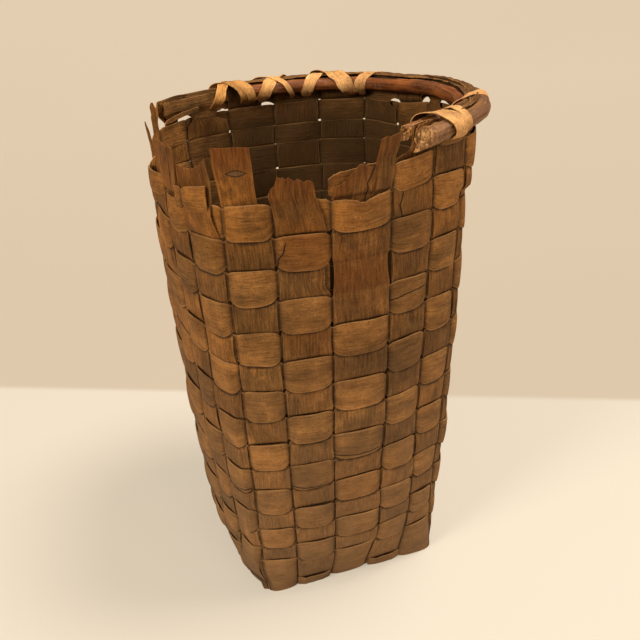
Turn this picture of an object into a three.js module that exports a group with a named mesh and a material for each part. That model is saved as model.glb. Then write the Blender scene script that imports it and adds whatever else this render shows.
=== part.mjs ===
// Splint basket: ten flat stakes cross in a square base and turn up into twenty uprights, seventeen
// flat weavers go round them, and two hoops are lashed to the top row. The front of the rim is broken
// away, so the hoops, the two top weavers and some stakes end there.
// Millimetres, +Z up. The origin is on the floor under the middle of the base. The photographed face
// looks towards -Y.
import * as THREE from "three";
import { mergeVertices } from "three/addons/utils/BufferGeometryUtils.js";

// Base and wall
const baseHalf = 108; // half the side of the square base
const foldInset = 6; // from the base's edge to the outermost stake that crosses it
const footHeight = 50; // top of the lowest row, where the wall has its full section
const wallHeight = 545; // floor to the top edge of the top weaver
const footSquare = 65; // half side of the square part of the section at the foot
const footRound = 62; // radius of the round part of the section at the foot
const rimSquare = 44; // the same two at the rim
const rimRound = 121;
const bellyBulge = 8; // how far the wall swells between foot and rim
const rimShift = 12; // the rim sits this far towards +X of the base
const rimDip = 16; // the back of the rim sits this much lower
const dipRun = 75; // and drops over this height, below the top row
const slump = 13; // the left wall, which has lost its hoops, leans in by this much at the rim
const slumpRun = 165; // from this far below the rim
const slumpColumn = 16.6; // most at this column
const slumpColumns = 3; // and over this many on each side of it
const dipStart = 7; // the rim starts to dip at this column
const dipFall = 2.5; // and is lowest this many columns on
const dipRise = 3; // it comes up again over this many, up to the front left corner
const wallSample = 5; // half the height over which the wall's slope is taken
const wallSampleColumns = 0.35; // and the same along it, in columns

// Splints
const stakeThickness = 1.4;
const weaverThickness = 1.4;
const weaveClearance = 0.4; // between a stake and the weaver that crosses it
const stakeGapAtBase = 4; // between neighbouring stakes
const stakeGapAtRim = 8;
const rowGap = 3; // between neighbouring weavers
const topRowWidth = 23; // the top weaver, between the hoops
const rimRowGap = 8; // below the top weaver, where the lashing goes through
const lowestRowStart = 13; // floor to the lower edge of the lowest weaver
const rowCrowding = 0.13; // rows get narrower towards the base by this share
const rowMiddling = 0.16; // and wider in the middle of the wall by this share
const foldHeightShare = 0.4; // a fold's middle is this share of the lowest row's start above the floor
const foldInsetShare = 0.25; // and this share of foldInset in from the wall's foot
const foldRiseShare = 0.3; // and this share of foldInset above the base
const brokenOverhang = 2; // a broken weaver ends this far past the last stake that it crosses
const driftHeight = 80; // stakes run straight up to here, and drift sideways above it

// Rim
const innerHoopRadius = 7.5;
const outerHoopRadius = 8.5;
const hoopDrop = 9; // top of the wall to the hoops' centre line
const hoopClearance = 0.4; // between a hoop and the wall
const lashThickness = 1.2;
const lashWidth = 14;
const lashNeckWidth = 5; // where it squeezes through between two stakes
const neckReach = 4; // it stays that narrow this far out from the wall
const neckRise = 2; // and rises this much there
const lashClearance = 1.4; // over the hoops, which turn at each stake
const crestClearance = 0.6; // over the filler
const fillerWidth = 7;
const fillerThickness = 1.2;
const fillerLift = 0.4; // above the splints' ends

const secondRowTop = wallHeight - topRowWidth - rimRowGap; // top edge of the second weaver from the top

const sides = 4;
const perSide = 5;
const columns = sides * perSide;
const rows = 17;

// How far a column's left edge has drifted from even spacing, as a share of a column
const frontDrift = [0.19, 0.07, 0.05, 0.18, 0.08, -0.15];
const leftDrift = [0.45, 0.3];

// Where an upright is torn or broken short, its left and right edge end after this many rows
const brokenUprights = new Map([
  [0, [16.7, 16.75]],
  [1, [15.8, 15.65]],
  [2, [15.45, 16.9]],
  [17, [16.85, 16.7]],
  [18, [16.85, 16.05]],
  [19, [16.1, 16.25]],
]);

// Rows that don't go all the way round, as the first and last column that they cross
const brokenRows = new Map([
  [13, [3, 21]],
  [16, [2, 19]],
  [17, [3, 15]],
]);

// The hoops, as columns round the wall from the front right to the back left
const innerHoopSpan = [3.15, 13.6];
const outerHoopSpan = [3.4, 13.8];
const fillerSpan = [4.2, 13.4];
const lashedBoundaries = [4, 5, 6, 10, 11, 12, 13];

const paint = {
  stake: { color: 0x77553a, roughness: 0.82, metalness: 0 },
  weaver: { color: 0x8a653f, roughness: 0.8, metalness: 0 },
  innerHoop: { color: 0x5f3d28, roughness: 0.75, metalness: 0 },
  outerHoop: { color: 0x6e4b2c, roughness: 0.75, metalness: 0 },
  lashing: { color: 0x9c7a52, roughness: 0.78, metalness: 0 },
};

const mix = (a, b, share) => a + (b - a) * share;
const clamp = (value, low, high) => Math.min(Math.max(value, low), high);
const smooth = (share) => share * share * (3 - 2 * share);

// The section's square and round parts at a height
function sectionAt(z) {
  const low = clamp(z / footHeight, 0, 1);
  const high = (z - footHeight) / (wallHeight - footHeight);
  const swell = high > 0 ? 4 * bellyBulge * high * (1 - high) : 0;
  const up = Math.max(high, 0);
  return {
    square: mix(baseHalf, mix(footSquare, rimSquare, up), low),
    round: mix(0, mix(footRound, rimRound, up) + swell, low),
  };
}

// A unit square's point, going round from the front left corner; one side is perSide columns
function squarePoint(u) {
  const turn = ((u % columns) + columns) % columns;
  const side = Math.floor(turn / perSide);
  const along = (2 * (turn - side * perSide)) / perSide - 1;
  return [[along, -1], [1, along], [-along, 1], [-1, -along]][side];
}

// How much of the dip and of the slump there is at column u
function dipShare(u) {
  const turn = ((u % columns) + columns) % columns;
  const fallen = smooth(clamp((turn - dipStart) / dipFall, 0, 1));
  return fallen * smooth(clamp((columns - 1 - turn) / dipRise, 0, 1));
}

function slumpShare(u) {
  const turn = ((u % columns) + columns) % columns;
  return smooth(clamp(1 - Math.abs(turn - slumpColumn) / slumpColumns, 0, 1));
}

// A point of the wall's middle surface, at column u and height z
function wallPoint(u, z) {
  const { square, round } = sectionAt(z);
  const [sx, sy] = squarePoint(u);
  const angle = ((u - perSide / 2) / columns) * 2 * Math.PI - Math.PI / 2;
  const lean = (rimShift * z) / wallHeight;
  const inward = slump * slumpShare(u) * smooth(clamp(1 - (wallHeight - z) / slumpRun, 0, 1));
  const drop = rimDip * dipShare(u) * smooth(clamp(1 - (secondRowTop - z) / dipRun, 0, 1));
  return new THREE.Vector3(
    square * sx + (round - inward) * Math.cos(angle) + lean,
    square * sy + (round - inward) * Math.sin(angle),
    z - drop,
  );
}

// The outward direction there, taken across a corner as its average
function wallNormal(u, z) {
  const along = wallPoint(u + wallSampleColumns, z).sub(wallPoint(u - wallSampleColumns, z));
  const rise = wallPoint(u, z + wallSample).sub(wallPoint(u, z - wallSample));
  return along.cross(rise).normalize();
}

function columnWidth(z) {
  const { square, round } = sectionAt(z);
  return (2 * sides * square + 2 * Math.PI * round) / columns;
}

// Height of a row's upper and lower edge
function rowTop(row) {
  if (row === rows) return wallHeight;
  const q = (row - 1) / (rows - 2);
  const bend = q * (1 - q) * (1 - 2 * q);
  return footHeight + (secondRowTop - footHeight) * (q - rowCrowding * q * (1 - q) - rowMiddling * bend);
}

function rowBottom(row) {
  if (row === 1) return lowestRowStart;
  return rowTop(row - 1) + (row === rows ? rimRowGap : rowGap);
}

// Height after a number of rows that needn't be whole
function heightAfter(rowCount) {
  const whole = Math.floor(rowCount);
  return mix(rowTop(whole), rowTop(Math.min(whole + 1, rows)), rowCount - whole);
}

// Sideways drift of the boundary on a column's left
function drift(boundary) {
  const k = ((boundary % columns) + columns) % columns;
  if (k <= perSide) return frontDrift[k];
  if (k >= columns - leftDrift.length) return leftDrift[k - columns + leftDrift.length];
  const share = (k - perSide) / (columns - leftDrift.length - perSide);
  return mix(frontDrift[perSide], leftDrift[0], share);
}

// The base's stakes lie side by side across it
const baseCell = (2 * (baseHalf - foldInset) + stakeGapAtBase) / perSide;
const baseEdge = (step) => -(baseHalf - foldInset) + baseCell * step;

// Where a column's left (edge 0) or right (edge 1) side is, at a height
function columnEdge(column, edge, z) {
  const side = Math.floor(column / perSide);
  const step = column - side * perSide;
  const onBase = baseEdge(step) + edge * (baseCell - stakeGapAtBase);
  const atBase = side * perSide + ((onBase + baseHalf) / (2 * baseHalf)) * perSide;
  const gap = mix(stakeGapAtBase, stakeGapAtRim, clamp(z / wallHeight, 0, 1));
  const inset = ((edge === 0 ? 1 : -1) * gap) / 2 / columnWidth(z);
  const onWall = column + edge + drift(column + edge) + inset;
  return mix(atBase, onWall, smooth(clamp(z / driftHeight, 0, 1)));
}

const weaverOutside = (row, column) => (row + column) % 2 !== 0;
const weaverOffset = (weaveClearance + weaverThickness) / 2;
const stakeOffset = (weaveClearance + stakeThickness) / 2;
const wallHalf = Math.max(weaverOffset + weaverThickness / 2, stakeOffset + stakeThickness / 2);

// A flat strip through stations, each with two edge points, a direction of thickness at each, and
// the strip's offset along it. Crossing strips fold along the same diagonal of each crossing, which
// is the other one on a strip that meets it from the other side.
function strip(stations, thickness, closed, otherDiagonal = false) {
  const positions = [];
  for (const { points, normals, offset } of stations) {
    for (const face of [1, -1]) {
      for (const edge of [0, 1]) {
        const shift = offset + (face * thickness) / 2;
        positions.push(...points[edge].clone().addScaledVector(normals[edge], shift));
      }
    }
  }
  // Corners of one station: 0 and 1 on the outer face, 2 and 3 on the inner face
  const indices = [];
  const count = stations.length;
  for (let i = 0; i < (closed ? count : count - 1); i++) {
    const a = i * 4;
    const b = ((i + 1) % count) * 4;
    if (otherDiagonal) {
      indices.push(a, b, a + 1, a + 1, b, b + 1);
      indices.push(a + 2, a + 3, b + 2, a + 3, b + 3, b + 2);
    } else {
      indices.push(a, b + 1, a + 1, a, b, b + 1);
      indices.push(a + 2, a + 3, b + 3, a + 2, b + 3, b + 2);
    }
    indices.push(a, a + 2, b + 2, a, b + 2, b);
    indices.push(a + 1, b + 1, b + 3, a + 1, b + 3, a + 3);
  }
  if (!closed) {
    const z = (count - 1) * 4;
    indices.push(0, 1, 3, 0, 3, 2);
    indices.push(z, z + 3, z + 1, z, z + 2, z + 3);
  }
  return outward(positions, indices);
}

// A geometry whose faces point out
function outward(positions, indices) {
  const at = (i) => new THREE.Vector3().fromArray(positions, indices[i] * 3);
  let volume = 0;
  for (let i = 0; i < indices.length; i += 3) volume += at(i).dot(at(i + 1).cross(at(i + 2)));
  if (volume < 0) {
    for (let i = 0; i < indices.length; i += 3) {
      [indices[i + 1], indices[i + 2]] = [indices[i + 2], indices[i + 1]];
    }
  }
  const geometry = new THREE.BufferGeometry();
  geometry.setAttribute("position", new THREE.Float32BufferAttribute(positions, 3));
  geometry.setIndex(indices);
  return mergeVertices(geometry, 1e-4);
}

// One station of a stake on the wall, with its edges at their own heights
function uprightStation(column, leftZ, rightZ, offset) {
  const at = [columnEdge(column, 0, leftZ), columnEdge(column, 1, rightZ)];
  return {
    points: [wallPoint(at[0], leftZ), wallPoint(at[1], rightZ)],
    normals: [wallNormal(at[0], leftZ), wallNormal(at[1], rightZ)],
    offset,
  };
}

// The stations of one upright from the fold to its top
function uprightStations(column) {
  const ends = (brokenUprights.get(column) ?? [rows, rows]).map(heightAfter);
  const lowEnd = Math.min(...ends);
  const stations = [];
  for (let row = 1; row <= rows; row++) {
    const offset = weaverOutside(row, column) ? -stakeOffset : stakeOffset;
    if (rowBottom(row) > lowEnd - rowGap) break;
    stations.push(uprightStation(column, rowBottom(row), rowBottom(row), offset));
    if (row === rows || rowBottom(row + 1) > lowEnd - rowGap) {
      stations.push(uprightStation(column, ends[0], ends[1], offset));
      break;
    }
    stations.push(uprightStation(column, rowTop(row), rowTop(row), offset));
  }
  return stations;
}

// The fold between the base and an upright, half way round it
function foldStation(column, baseLevel) {
  const height = lowestRowStart * foldHeightShare;
  const edges = [columnEdge(column, 0, height), columnEdge(column, 1, height)];
  const away = wallNormal(columnEdge(column, 0, 0) + 0.5, height).setZ(0).normalize();
  const normal = away.clone().setZ(-1).normalize();
  const points = edges.map((u) => {
    const point = wallPoint(u, 0).setZ(baseLevel);
    point.addScaledVector(away, -foldInset * foldInsetShare);
    return point.setZ(baseLevel + foldInset * foldRiseShare);
  });
  return { points, normals: [normal, normal], offset: 0 };
}

// A stake of the base: up one wall, across the base and up the opposite wall.
// way 0 runs along Y and way 1 along X
function stake(way, index) {
  const near = way === 0 ? index : 4 * perSide - 1 - index;
  const far = way === 0 ? 3 * perSide - 1 - index : perSide + index;
  const level = stakeThickness + weaveClearance / 2;
  const down = new THREE.Vector3(0, 0, -1);
  const low = baseEdge(index);
  const high = low + baseCell - stakeGapAtBase;
  const across = (along, side) =>
    way === 0 ? new THREE.Vector3(side, along, level) : new THREE.Vector3(along, side, level);
  const base = [];
  for (let cell = 0; cell < perSide; cell++) {
    const offset = (index + cell + way) % 2 !== 0 ? -stakeOffset : stakeOffset;
    for (const along of [baseEdge(cell), baseEdge(cell) + baseCell - stakeGapAtBase]) {
      base.push({ points: [across(along, low), across(along, high)], normals: [down, down], offset });
    }
  }
  const mirrored = (stations) => stations.map(({ points, normals, offset }) => ({
    points: [points[1], points[0]],
    normals: [normals[1], normals[0]],
    offset,
  }));
  const nearWall = [foldStation(near, level), ...uprightStations(near)].reverse();
  const farWall = [foldStation(far, level), ...uprightStations(far)];
  const path = way === 0
    ? [...nearWall, ...base, ...mirrored(farWall)]
    : [...mirrored(nearWall), ...base, ...farWall];
  return strip(path, stakeThickness, false, way === 0);
}

// One station of a weaver, across the row at a column's edge
function rowStation(row, column, edge, outside, pastEdge = 0) {
  const heights = [rowBottom(row), rowTop(row)];
  const at = heights.map((z) => columnEdge(column % columns, edge, z) + pastEdge);
  return {
    points: at.map((u, i) => wallPoint(u, heights[i])),
    normals: at.map((u, i) => wallNormal(u, heights[i])),
    offset: outside ? weaverOffset : -weaverOffset,
  };
}

function weaver(row) {
  const span = brokenRows.get(row);
  const [first, last] = span ?? [0, columns - 1];
  const stations = [];
  for (let column = first; column <= last; column++) {
    const outside = weaverOutside(row, column);
    stations.push(rowStation(row, column, 0, outside));
    stations.push(rowStation(row, column, 1, outside));
  }
  if (span) {
    const overhang = brokenOverhang / columnWidth(rowTop(row));
    stations.unshift(rowStation(row, first, 0, weaverOutside(row, first), -overhang));
    stations.push(rowStation(row, last, 1, weaverOutside(row, last), overhang));
  }
  return strip(stations, weaverThickness, !span);
}

// The places along the rim where a piece that follows it turns, from one column share to another
function rimStops(span) {
  const z = wallHeight - hoopDrop;
  const stops = [span[0]];
  for (let column = 0; column < columns; column++) {
    for (const edge of [0, 1]) {
      const u = columnEdge(column, edge, z);
      if (u > span[0] + 0.1 && u < span[1] - 0.1) stops.push(u);
    }
  }
  stops.push(span[1]);
  return stops;
}

// A frame on the rim: outwards from the wall, and up along it
function rimFrame(u) {
  const z = wallHeight - hoopDrop;
  const out = wallNormal(u, z);
  const up = wallPoint(u, z + wallSample).sub(wallPoint(u, z - wallSample)).normalize();
  return { origin: wallPoint(u, z), out, up };
}

const onRim = ({ origin, out, up }, side, height) =>
  origin.clone().addScaledVector(out, side).addScaledVector(up, height);

// A round bar along the rim, whose broken ends taper
function hoop(span, radius, centre) {
  const around = 10;
  const stops = rimStops(span);
  const positions = [];
  stops.forEach((u, i) => {
    const frame = rimFrame(u);
    const thin = i === 0 || i === stops.length - 1 ? 0.45 : 1;
    for (let step = 0; step < around; step++) {
      const angle = (step / around) * 2 * Math.PI;
      const side = centre + radius * thin * Math.cos(angle);
      positions.push(...onRim(frame, side, radius * thin * Math.sin(angle)));
    }
  });
  const indices = [];
  for (let i = 0; i < stops.length - 1; i++) {
    for (let step = 0; step < around; step++) {
      const a = i * around + step;
      const b = i * around + ((step + 1) % around);
      indices.push(a, b, b + around, a, b + around, a + around);
    }
  }
  const end = (stops.length - 1) * around;
  for (let step = 1; step < around - 1; step++) {
    indices.push(0, step + 1, step);
    indices.push(end, end + step, end + step + 1);
  }
  return outward(positions, indices);
}

const innerCentre = -(wallHalf + hoopClearance + innerHoopRadius);
const outerCentre = wallHalf + hoopClearance + outerHoopRadius;

// A flat filler that lies on the splints' ends between the hoops
function filler() {
  const height = hoopDrop + fillerLift + fillerThickness / 2;
  const stations = rimStops(fillerSpan).map((u) => {
    const frame = rimFrame(u);
    return {
      points: [onRim(frame, -fillerWidth / 2, height), onRim(frame, fillerWidth / 2, height)],
      normals: [frame.up, frame.up],
      offset: 0,
    };
  });
  return strip(stations, fillerThickness, false);
}

// One turn of lashing round both hoops, through the gap between two stakes under the top weaver
function lashing(boundary) {
  const z = wallHeight - hoopDrop;
  const left = columnEdge((boundary - 1 + columns) % columns, 1, z);
  const right = columnEdge(boundary % columns, 0, z);
  const u = (left + right) / 2;
  const cover = lashClearance + lashThickness / 2;
  const frame = rimFrame(u);
  const lift = (height) => wallPoint(u, height).sub(frame.origin).dot(frame.up);
  const neck = (lift(rowTop(rows - 1)) + lift(rowBottom(rows))) / 2;
  const crest = hoopDrop + fillerLift + fillerThickness + crestClearance + lashThickness / 2;
  const turn = Math.PI / 6;
  const roundHoop = (centre, radius, step) => {
    const reach = radius + cover;
    return [centre + reach * Math.cos(step * turn), reach * Math.sin(step * turn), lashWidth];
  };
  // Places round the rim's section: outwards, upwards, and the width there
  const stops = [[0, neck, lashNeckWidth], [neckReach, neck + neckRise, lashNeckWidth]];
  for (let step = -2; step <= 3; step++) stops.push(roundHoop(outerCentre, outerHoopRadius, step));
  stops.push([fillerWidth / 2, crest, lashWidth], [-fillerWidth / 2, crest, lashWidth]);
  for (let step = 3; step <= 8; step++) stops.push(roundHoop(innerCentre, innerHoopRadius, step));
  stops.push([-neckReach, neck + neckRise, lashNeckWidth]);
  const stations = stops.map(([side, height, width], i) => {
    const before = stops.at(i - 1);
    const after = stops[(i + 1) % stops.length];
    const run = new THREE.Vector2(after[0] - before[0], after[1] - before[1]).normalize();
    const frames = [-1, 1].map((end) => rimFrame(u + (end * width) / 2 / columnWidth(z)));
    return {
      points: frames.map((frame) => onRim(frame, side, height)),
      normals: frames.map(({ out, up }) => out.clone().multiplyScalar(run.y).addScaledVector(up, -run.x)),
      offset: 0,
    };
  });
  return strip(stations, lashThickness, true);
}

const group = new THREE.Group();
group.name = "woven_basket";

function add(name, geometry, look) {
  const mesh = new THREE.Mesh(geometry, new THREE.MeshStandardMaterial(look));
  mesh.name = name;
  group.add(mesh);
}

for (let index = 0; index < perSide; index++) {
  add(`stake_front_to_back_${index + 1}`, stake(0, index), paint.stake);
  add(`stake_side_to_side_${index + 1}`, stake(1, index), paint.stake);
}
for (let row = 1; row <= rows; row++) {
  add(`weaver_row_${String(row).padStart(2, "0")}`, weaver(row), paint.weaver);
}
add("inner_hoop", hoop(innerHoopSpan, innerHoopRadius, innerCentre), paint.innerHoop);
add("outer_hoop", hoop(outerHoopSpan, outerHoopRadius, outerCentre), paint.outerHoop);
add("rim_filler_strip", filler(), paint.lashing);
lashedBoundaries.forEach((boundary, i) => add(`rim_lashing_${i + 1}`, lashing(boundary), paint.lashing));

export default group;
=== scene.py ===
import math

import bpy
import numpy as np
from mathutils import Matrix, Vector


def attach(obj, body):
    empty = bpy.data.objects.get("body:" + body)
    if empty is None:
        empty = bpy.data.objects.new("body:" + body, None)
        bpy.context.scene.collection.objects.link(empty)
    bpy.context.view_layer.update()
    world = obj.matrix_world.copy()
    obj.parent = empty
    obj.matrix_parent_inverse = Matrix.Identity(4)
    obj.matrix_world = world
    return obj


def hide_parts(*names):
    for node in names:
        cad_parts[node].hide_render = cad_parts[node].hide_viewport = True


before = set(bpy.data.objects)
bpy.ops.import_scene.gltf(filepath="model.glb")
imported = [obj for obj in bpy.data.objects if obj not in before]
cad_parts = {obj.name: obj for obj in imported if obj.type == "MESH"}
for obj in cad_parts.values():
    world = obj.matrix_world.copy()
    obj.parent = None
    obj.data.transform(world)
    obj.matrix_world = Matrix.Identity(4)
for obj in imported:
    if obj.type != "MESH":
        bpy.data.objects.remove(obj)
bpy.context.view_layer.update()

# Uprights
# Ten flat splints of split ash cross in the base, five each way, and turn up into twenty uprights.
# Each is about 40 mm wide and 1.4 mm thick, and bends in and out round the weavers that cross it.

# The wall is square at the floor and nearly round at the rim. A place on it is a column u, counted
# round from the front left corner, and a height z. Its section is a square part and a round part.
COLUMNS, PER_SIDE, ROWS = 20, 5, 17
BASE_HALF, FOOT_HEIGHT, WALL_HEIGHT = 0.108, 0.050, 0.545
FOOT_SQUARE, FOOT_ROUND = 0.065, 0.062
RIM_SQUARE, RIM_ROUND = 0.044, 0.121
BELLY, RIM_SHIFT = 0.0045, 0.012
TOP_ROW_WIDTH, RIM_ROW_GAP = 0.023, 0.008
SECOND_ROW_TOP = WALL_HEIGHT - TOP_ROW_WIDTH - RIM_ROW_GAP
WALL_WOBBLE, WOBBLE_FULL = 0.0012, 0.08
# Where the old wall has moved: how far, and the columns and heights between which that grows
WAIST_IN, WAIST_COLUMN, WAIST_REACH, WAIST_HEIGHT, WAIST_RISE = 0.0035, 17.5, 1.6, 0.36, 0.1
SLUMP, SLUMP_COLUMN, SLUMP_REACH, SLUMP_HEIGHT = 0.013, 16.6, 3, (WALL_HEIGHT - 0.165, WALL_HEIGHT)
RIM_DIP, DIP_RIGHT, DIP_LEFT = 0.016, (7, 9.5), (19, 16)
DIP_HEIGHT = (SECOND_ROW_TOP - 0.075, SECOND_ROW_TOP)
CORNER_TUCK, TUCK_REACH = 0.012, 0.9
BROKEN_DROOP, DROOP_LEFT, DROOP_RIGHT, DROOP_HEIGHT = 0.0065, (1.5, 2), (4.9, 3.4), (0.505, 0.535)
# A bent step in the right side: out above it, in below it
STEP_OUT, STEP_IN, STEP_COLUMN, STEP_REACH = 0.0045, 0.0035, 5.5, 0.8
STEP_HEIGHT, STEP_TOP, STEP_FOOT = (0.459, 0.467), (0.56, 0.52), (0.37, 0.45)
FELT_ALONG, FELT_UP = 0.35, 0.005  # how far to each side the wall is felt for its direction


def mix(a, b, share):
    return a + (b - a) * share


def smooth(share):
    share = np.clip(share, 0, 1)
    return share * share * (3 - 2 * share)


def fade(value, start, end):
    """0 at start and 1 at end, with a smooth run between them."""
    return smooth((value - start) / (end - start))


def hump(value, centre, reach):
    return np.exp(-((value - centre) / reach)**2)


def ripple(seed, x, y=0.0):
    """Smooth noise, mostly between -1 and 1, that repeats about once in a length of 1."""
    draw = np.random.default_rng(seed)
    total, waves = 0, 6
    for _ in range(waves):
        angle = draw.uniform(0, math.pi)
        stretch = 2 * math.pi * draw.uniform(0.6, 1.6)
        along = x * math.cos(angle) + y * math.sin(angle)
        total = total + np.sin(stretch * along + draw.uniform(0, 6.3))
    return total / math.sqrt(waves)


def unit(vectors):
    return vectors / np.linalg.norm(vectors, axis=-1, keepdims=True)


def section(z):
    """Half side of the section's square part and radius of its round part."""
    low = np.clip(z / FOOT_HEIGHT, 0, 1)
    up = np.maximum((z - FOOT_HEIGHT) / (WALL_HEIGHT - FOOT_HEIGHT), 0)
    swell = np.maximum(4 * BELLY * up * (1 - up), 0)
    square = mix(BASE_HALF, mix(FOOT_SQUARE, RIM_SQUARE, up), low)
    return square, mix(0, mix(FOOT_ROUND, RIM_ROUND, up) + swell, low)


def wall(u, z):
    """Points on the middle of the weave."""
    u, z = np.broadcast_arrays(np.asarray(u, float), np.asarray(z, float))
    square, round_part = section(z)
    turn = np.mod(u, COLUMNS)
    side = np.minimum(turn // PER_SIDE, 3).astype(int)
    along = 2 * (turn - PER_SIDE * side) / PER_SIDE - 1
    one = np.ones_like(along)
    square_x = np.choose(side, [along, one, -along, -one])
    square_y = np.choose(side, [-one, along, one, -along])
    angle = (turn - PER_SIDE / 2) / COLUMNS * 2 * np.pi - np.pi / 2
    slumped = fade(np.abs(turn - SLUMP_COLUMN), SLUMP_REACH, 0) * fade(z, *SLUMP_HEIGHT)
    dipped = fade(turn, *DIP_RIGHT) * fade(turn, *DIP_LEFT) * fade(z, *DIP_HEIGHT)
    wobble = WALL_WOBBLE * fade(z, 0, WOBBLE_FULL)
    wobble = wobble * ripple(11, np.cos(angle) * 2, np.sin(angle) * 2 + z * 9)
    waist = hump(turn, WAIST_COLUMN, WAIST_REACH) * hump(z, WAIST_HEIGHT, WAIST_RISE)
    bent = STEP_OUT * fade(z, *STEP_HEIGHT) * fade(z, *STEP_TOP)
    bent = bent - STEP_IN * fade(z, *STEP_HEIGHT[::-1]) * fade(z, *STEP_FOOT)
    bent = bent * hump(turn, STEP_COLUMN, STEP_REACH)
    radius = round_part - SLUMP * slumped - WAIST_IN * waist + wobble + bent
    tucked = fade(np.minimum(turn, COLUMNS - turn), TUCK_REACH, 0) * fade(z, FOOT_HEIGHT, 0)
    broken = fade(turn, *DROOP_RIGHT) * fade(turn, *DROOP_LEFT) * fade(z, *DROOP_HEIGHT)
    x = square * square_x + radius * np.cos(angle) + RIM_SHIFT * z / WALL_HEIGHT + CORNER_TUCK * tucked
    y = square * square_y + radius * np.sin(angle)
    return np.stack([x, y, z - RIM_DIP * dipped - BROKEN_DROOP * broken], -1)


def outward(u, z):
    along = wall(u + FELT_ALONG, z) - wall(u - FELT_ALONG, z)
    rise = wall(u, z + FELT_UP) - wall(u, z - FELT_UP)
    return unit(np.cross(along, rise))


def column_width(z):
    square, round_part = section(z)
    return (8 * square + 2 * np.pi * round_part) / COLUMNS


# Rows, counted from 1 at the floor, lie closer together at mid height
LOWEST_ROW_START, ROW_GAP = 0.013, 0.003
CROWDING, LOW_CROWDING = 0.13, 0.16


def row_top(row):
    if row == ROWS:
        return WALL_HEIGHT
    q = (row - 1) / (ROWS - 2)
    crowding = q * (1 - q) * (CROWDING + LOW_CROWDING * (1 - 2 * q))
    return FOOT_HEIGHT + (SECOND_ROW_TOP - FOOT_HEIGHT) * (q - crowding)


def row_bottom(row):
    if row == 1:
        return LOWEST_ROW_START
    return row_top(row - 1) + (RIM_ROW_GAP if row == ROWS else ROW_GAP)


ROW_STEPS = np.array([0.0] + [row_top(row) for row in range(1, ROWS + 1)])


def height_after(row_count):
    return np.interp(row_count, np.arange(ROWS + 1), ROW_STEPS)


# Columns drift sideways as they rise, most at the left
FRONT_DRIFT = [0.19, 0.07, 0.05, 0.18, 0.08, -0.15]
LEFT_DRIFT = [0.45, 0.30]
DRIFT_HEIGHT = 0.080
BASE_CELL, BASE_START = 0.0416, -0.102
GAP_AT_BASE, GAP_AT_RIM = 0.004, 0.008


def drift(boundary):
    k = boundary % COLUMNS
    if k <= PER_SIDE:
        return FRONT_DRIFT[k]
    if k >= COLUMNS - 2:
        return LEFT_DRIFT[k - COLUMNS + 2]
    return mix(FRONT_DRIFT[-1], LEFT_DRIFT[0], (k - PER_SIDE) / (COLUMNS - 2 - PER_SIDE))


def base_place(step, share):
    """Where a share of a stake's width lies across the base."""
    return BASE_START + BASE_CELL * step + share * (BASE_CELL - GAP_AT_BASE)


def column_edge(column, edge, z):
    """Where a column's left (edge 0) or right (edge 1) side is, as u, at a height."""
    side, step = divmod(column % COLUMNS, PER_SIDE)
    along_side = (base_place(step, edge) + BASE_HALF) / (2 * BASE_HALF)
    at_base = PER_SIDE * (side + along_side) + column - column % COLUMNS
    gap = mix(GAP_AT_BASE, GAP_AT_RIM, np.clip(z / WALL_HEIGHT, 0, 1))
    inset = (1 if edge == 0 else -1) * gap / 2 / column_width(z)
    return mix(at_base, column + edge + drift(column + edge) + inset, fade(z, 0, DRIFT_HEIGHT))


def column_place(column, across, z):
    """u at a share across a column, from -1 at its left side to 1 at its right."""
    return mix(column_edge(column, 0, z), column_edge(column, 1, z), (across + 1) / 2)


SPLINT, CLEARANCE = 0.0014, 0.0004
CROSSING = (SPLINT + CLEARANCE) / 2  # middle of the weave to the middle of a splint
BASE_LEVEL = SPLINT + CLEARANCE / 2
BROKEN_ROWS = {13: (3, 21), 16: (2, 19), 17: (3, 15)}  # the first and last column that each still crosses


def weaver_outside(row, column):
    return (row + column) % 2 != 0


def row_crosses(row, column):
    """Whether a row that is broken away at the front still reaches a column."""
    first, last = BROKEN_ROWS.get(row, (0, COLUMNS - 1))
    return first <= column <= last or first <= column + COLUMNS <= last


def blocks(position, borders):
    """Which block between borders each position is in, and its place there from -1 to 1."""
    index = np.clip(np.searchsorted(borders, position, side="right") - 1, 0, len(borders) - 2)
    low, high = borders[index], borders[index + 1]
    return index, np.clip((2 * position - low - high) / (high - low), -1, 1)


def woven(position, borders, sides, run):
    """The side a splint lies on, 1 or -1 in each block, with a smooth run over each border."""
    level = np.full_like(position, sides[0], dtype=float)
    for border, before, after in zip(borders[1:], sides, sides[1:]):
        level = level + (after - before) * smooth((position - border) / run + 0.5)
    return level


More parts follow.
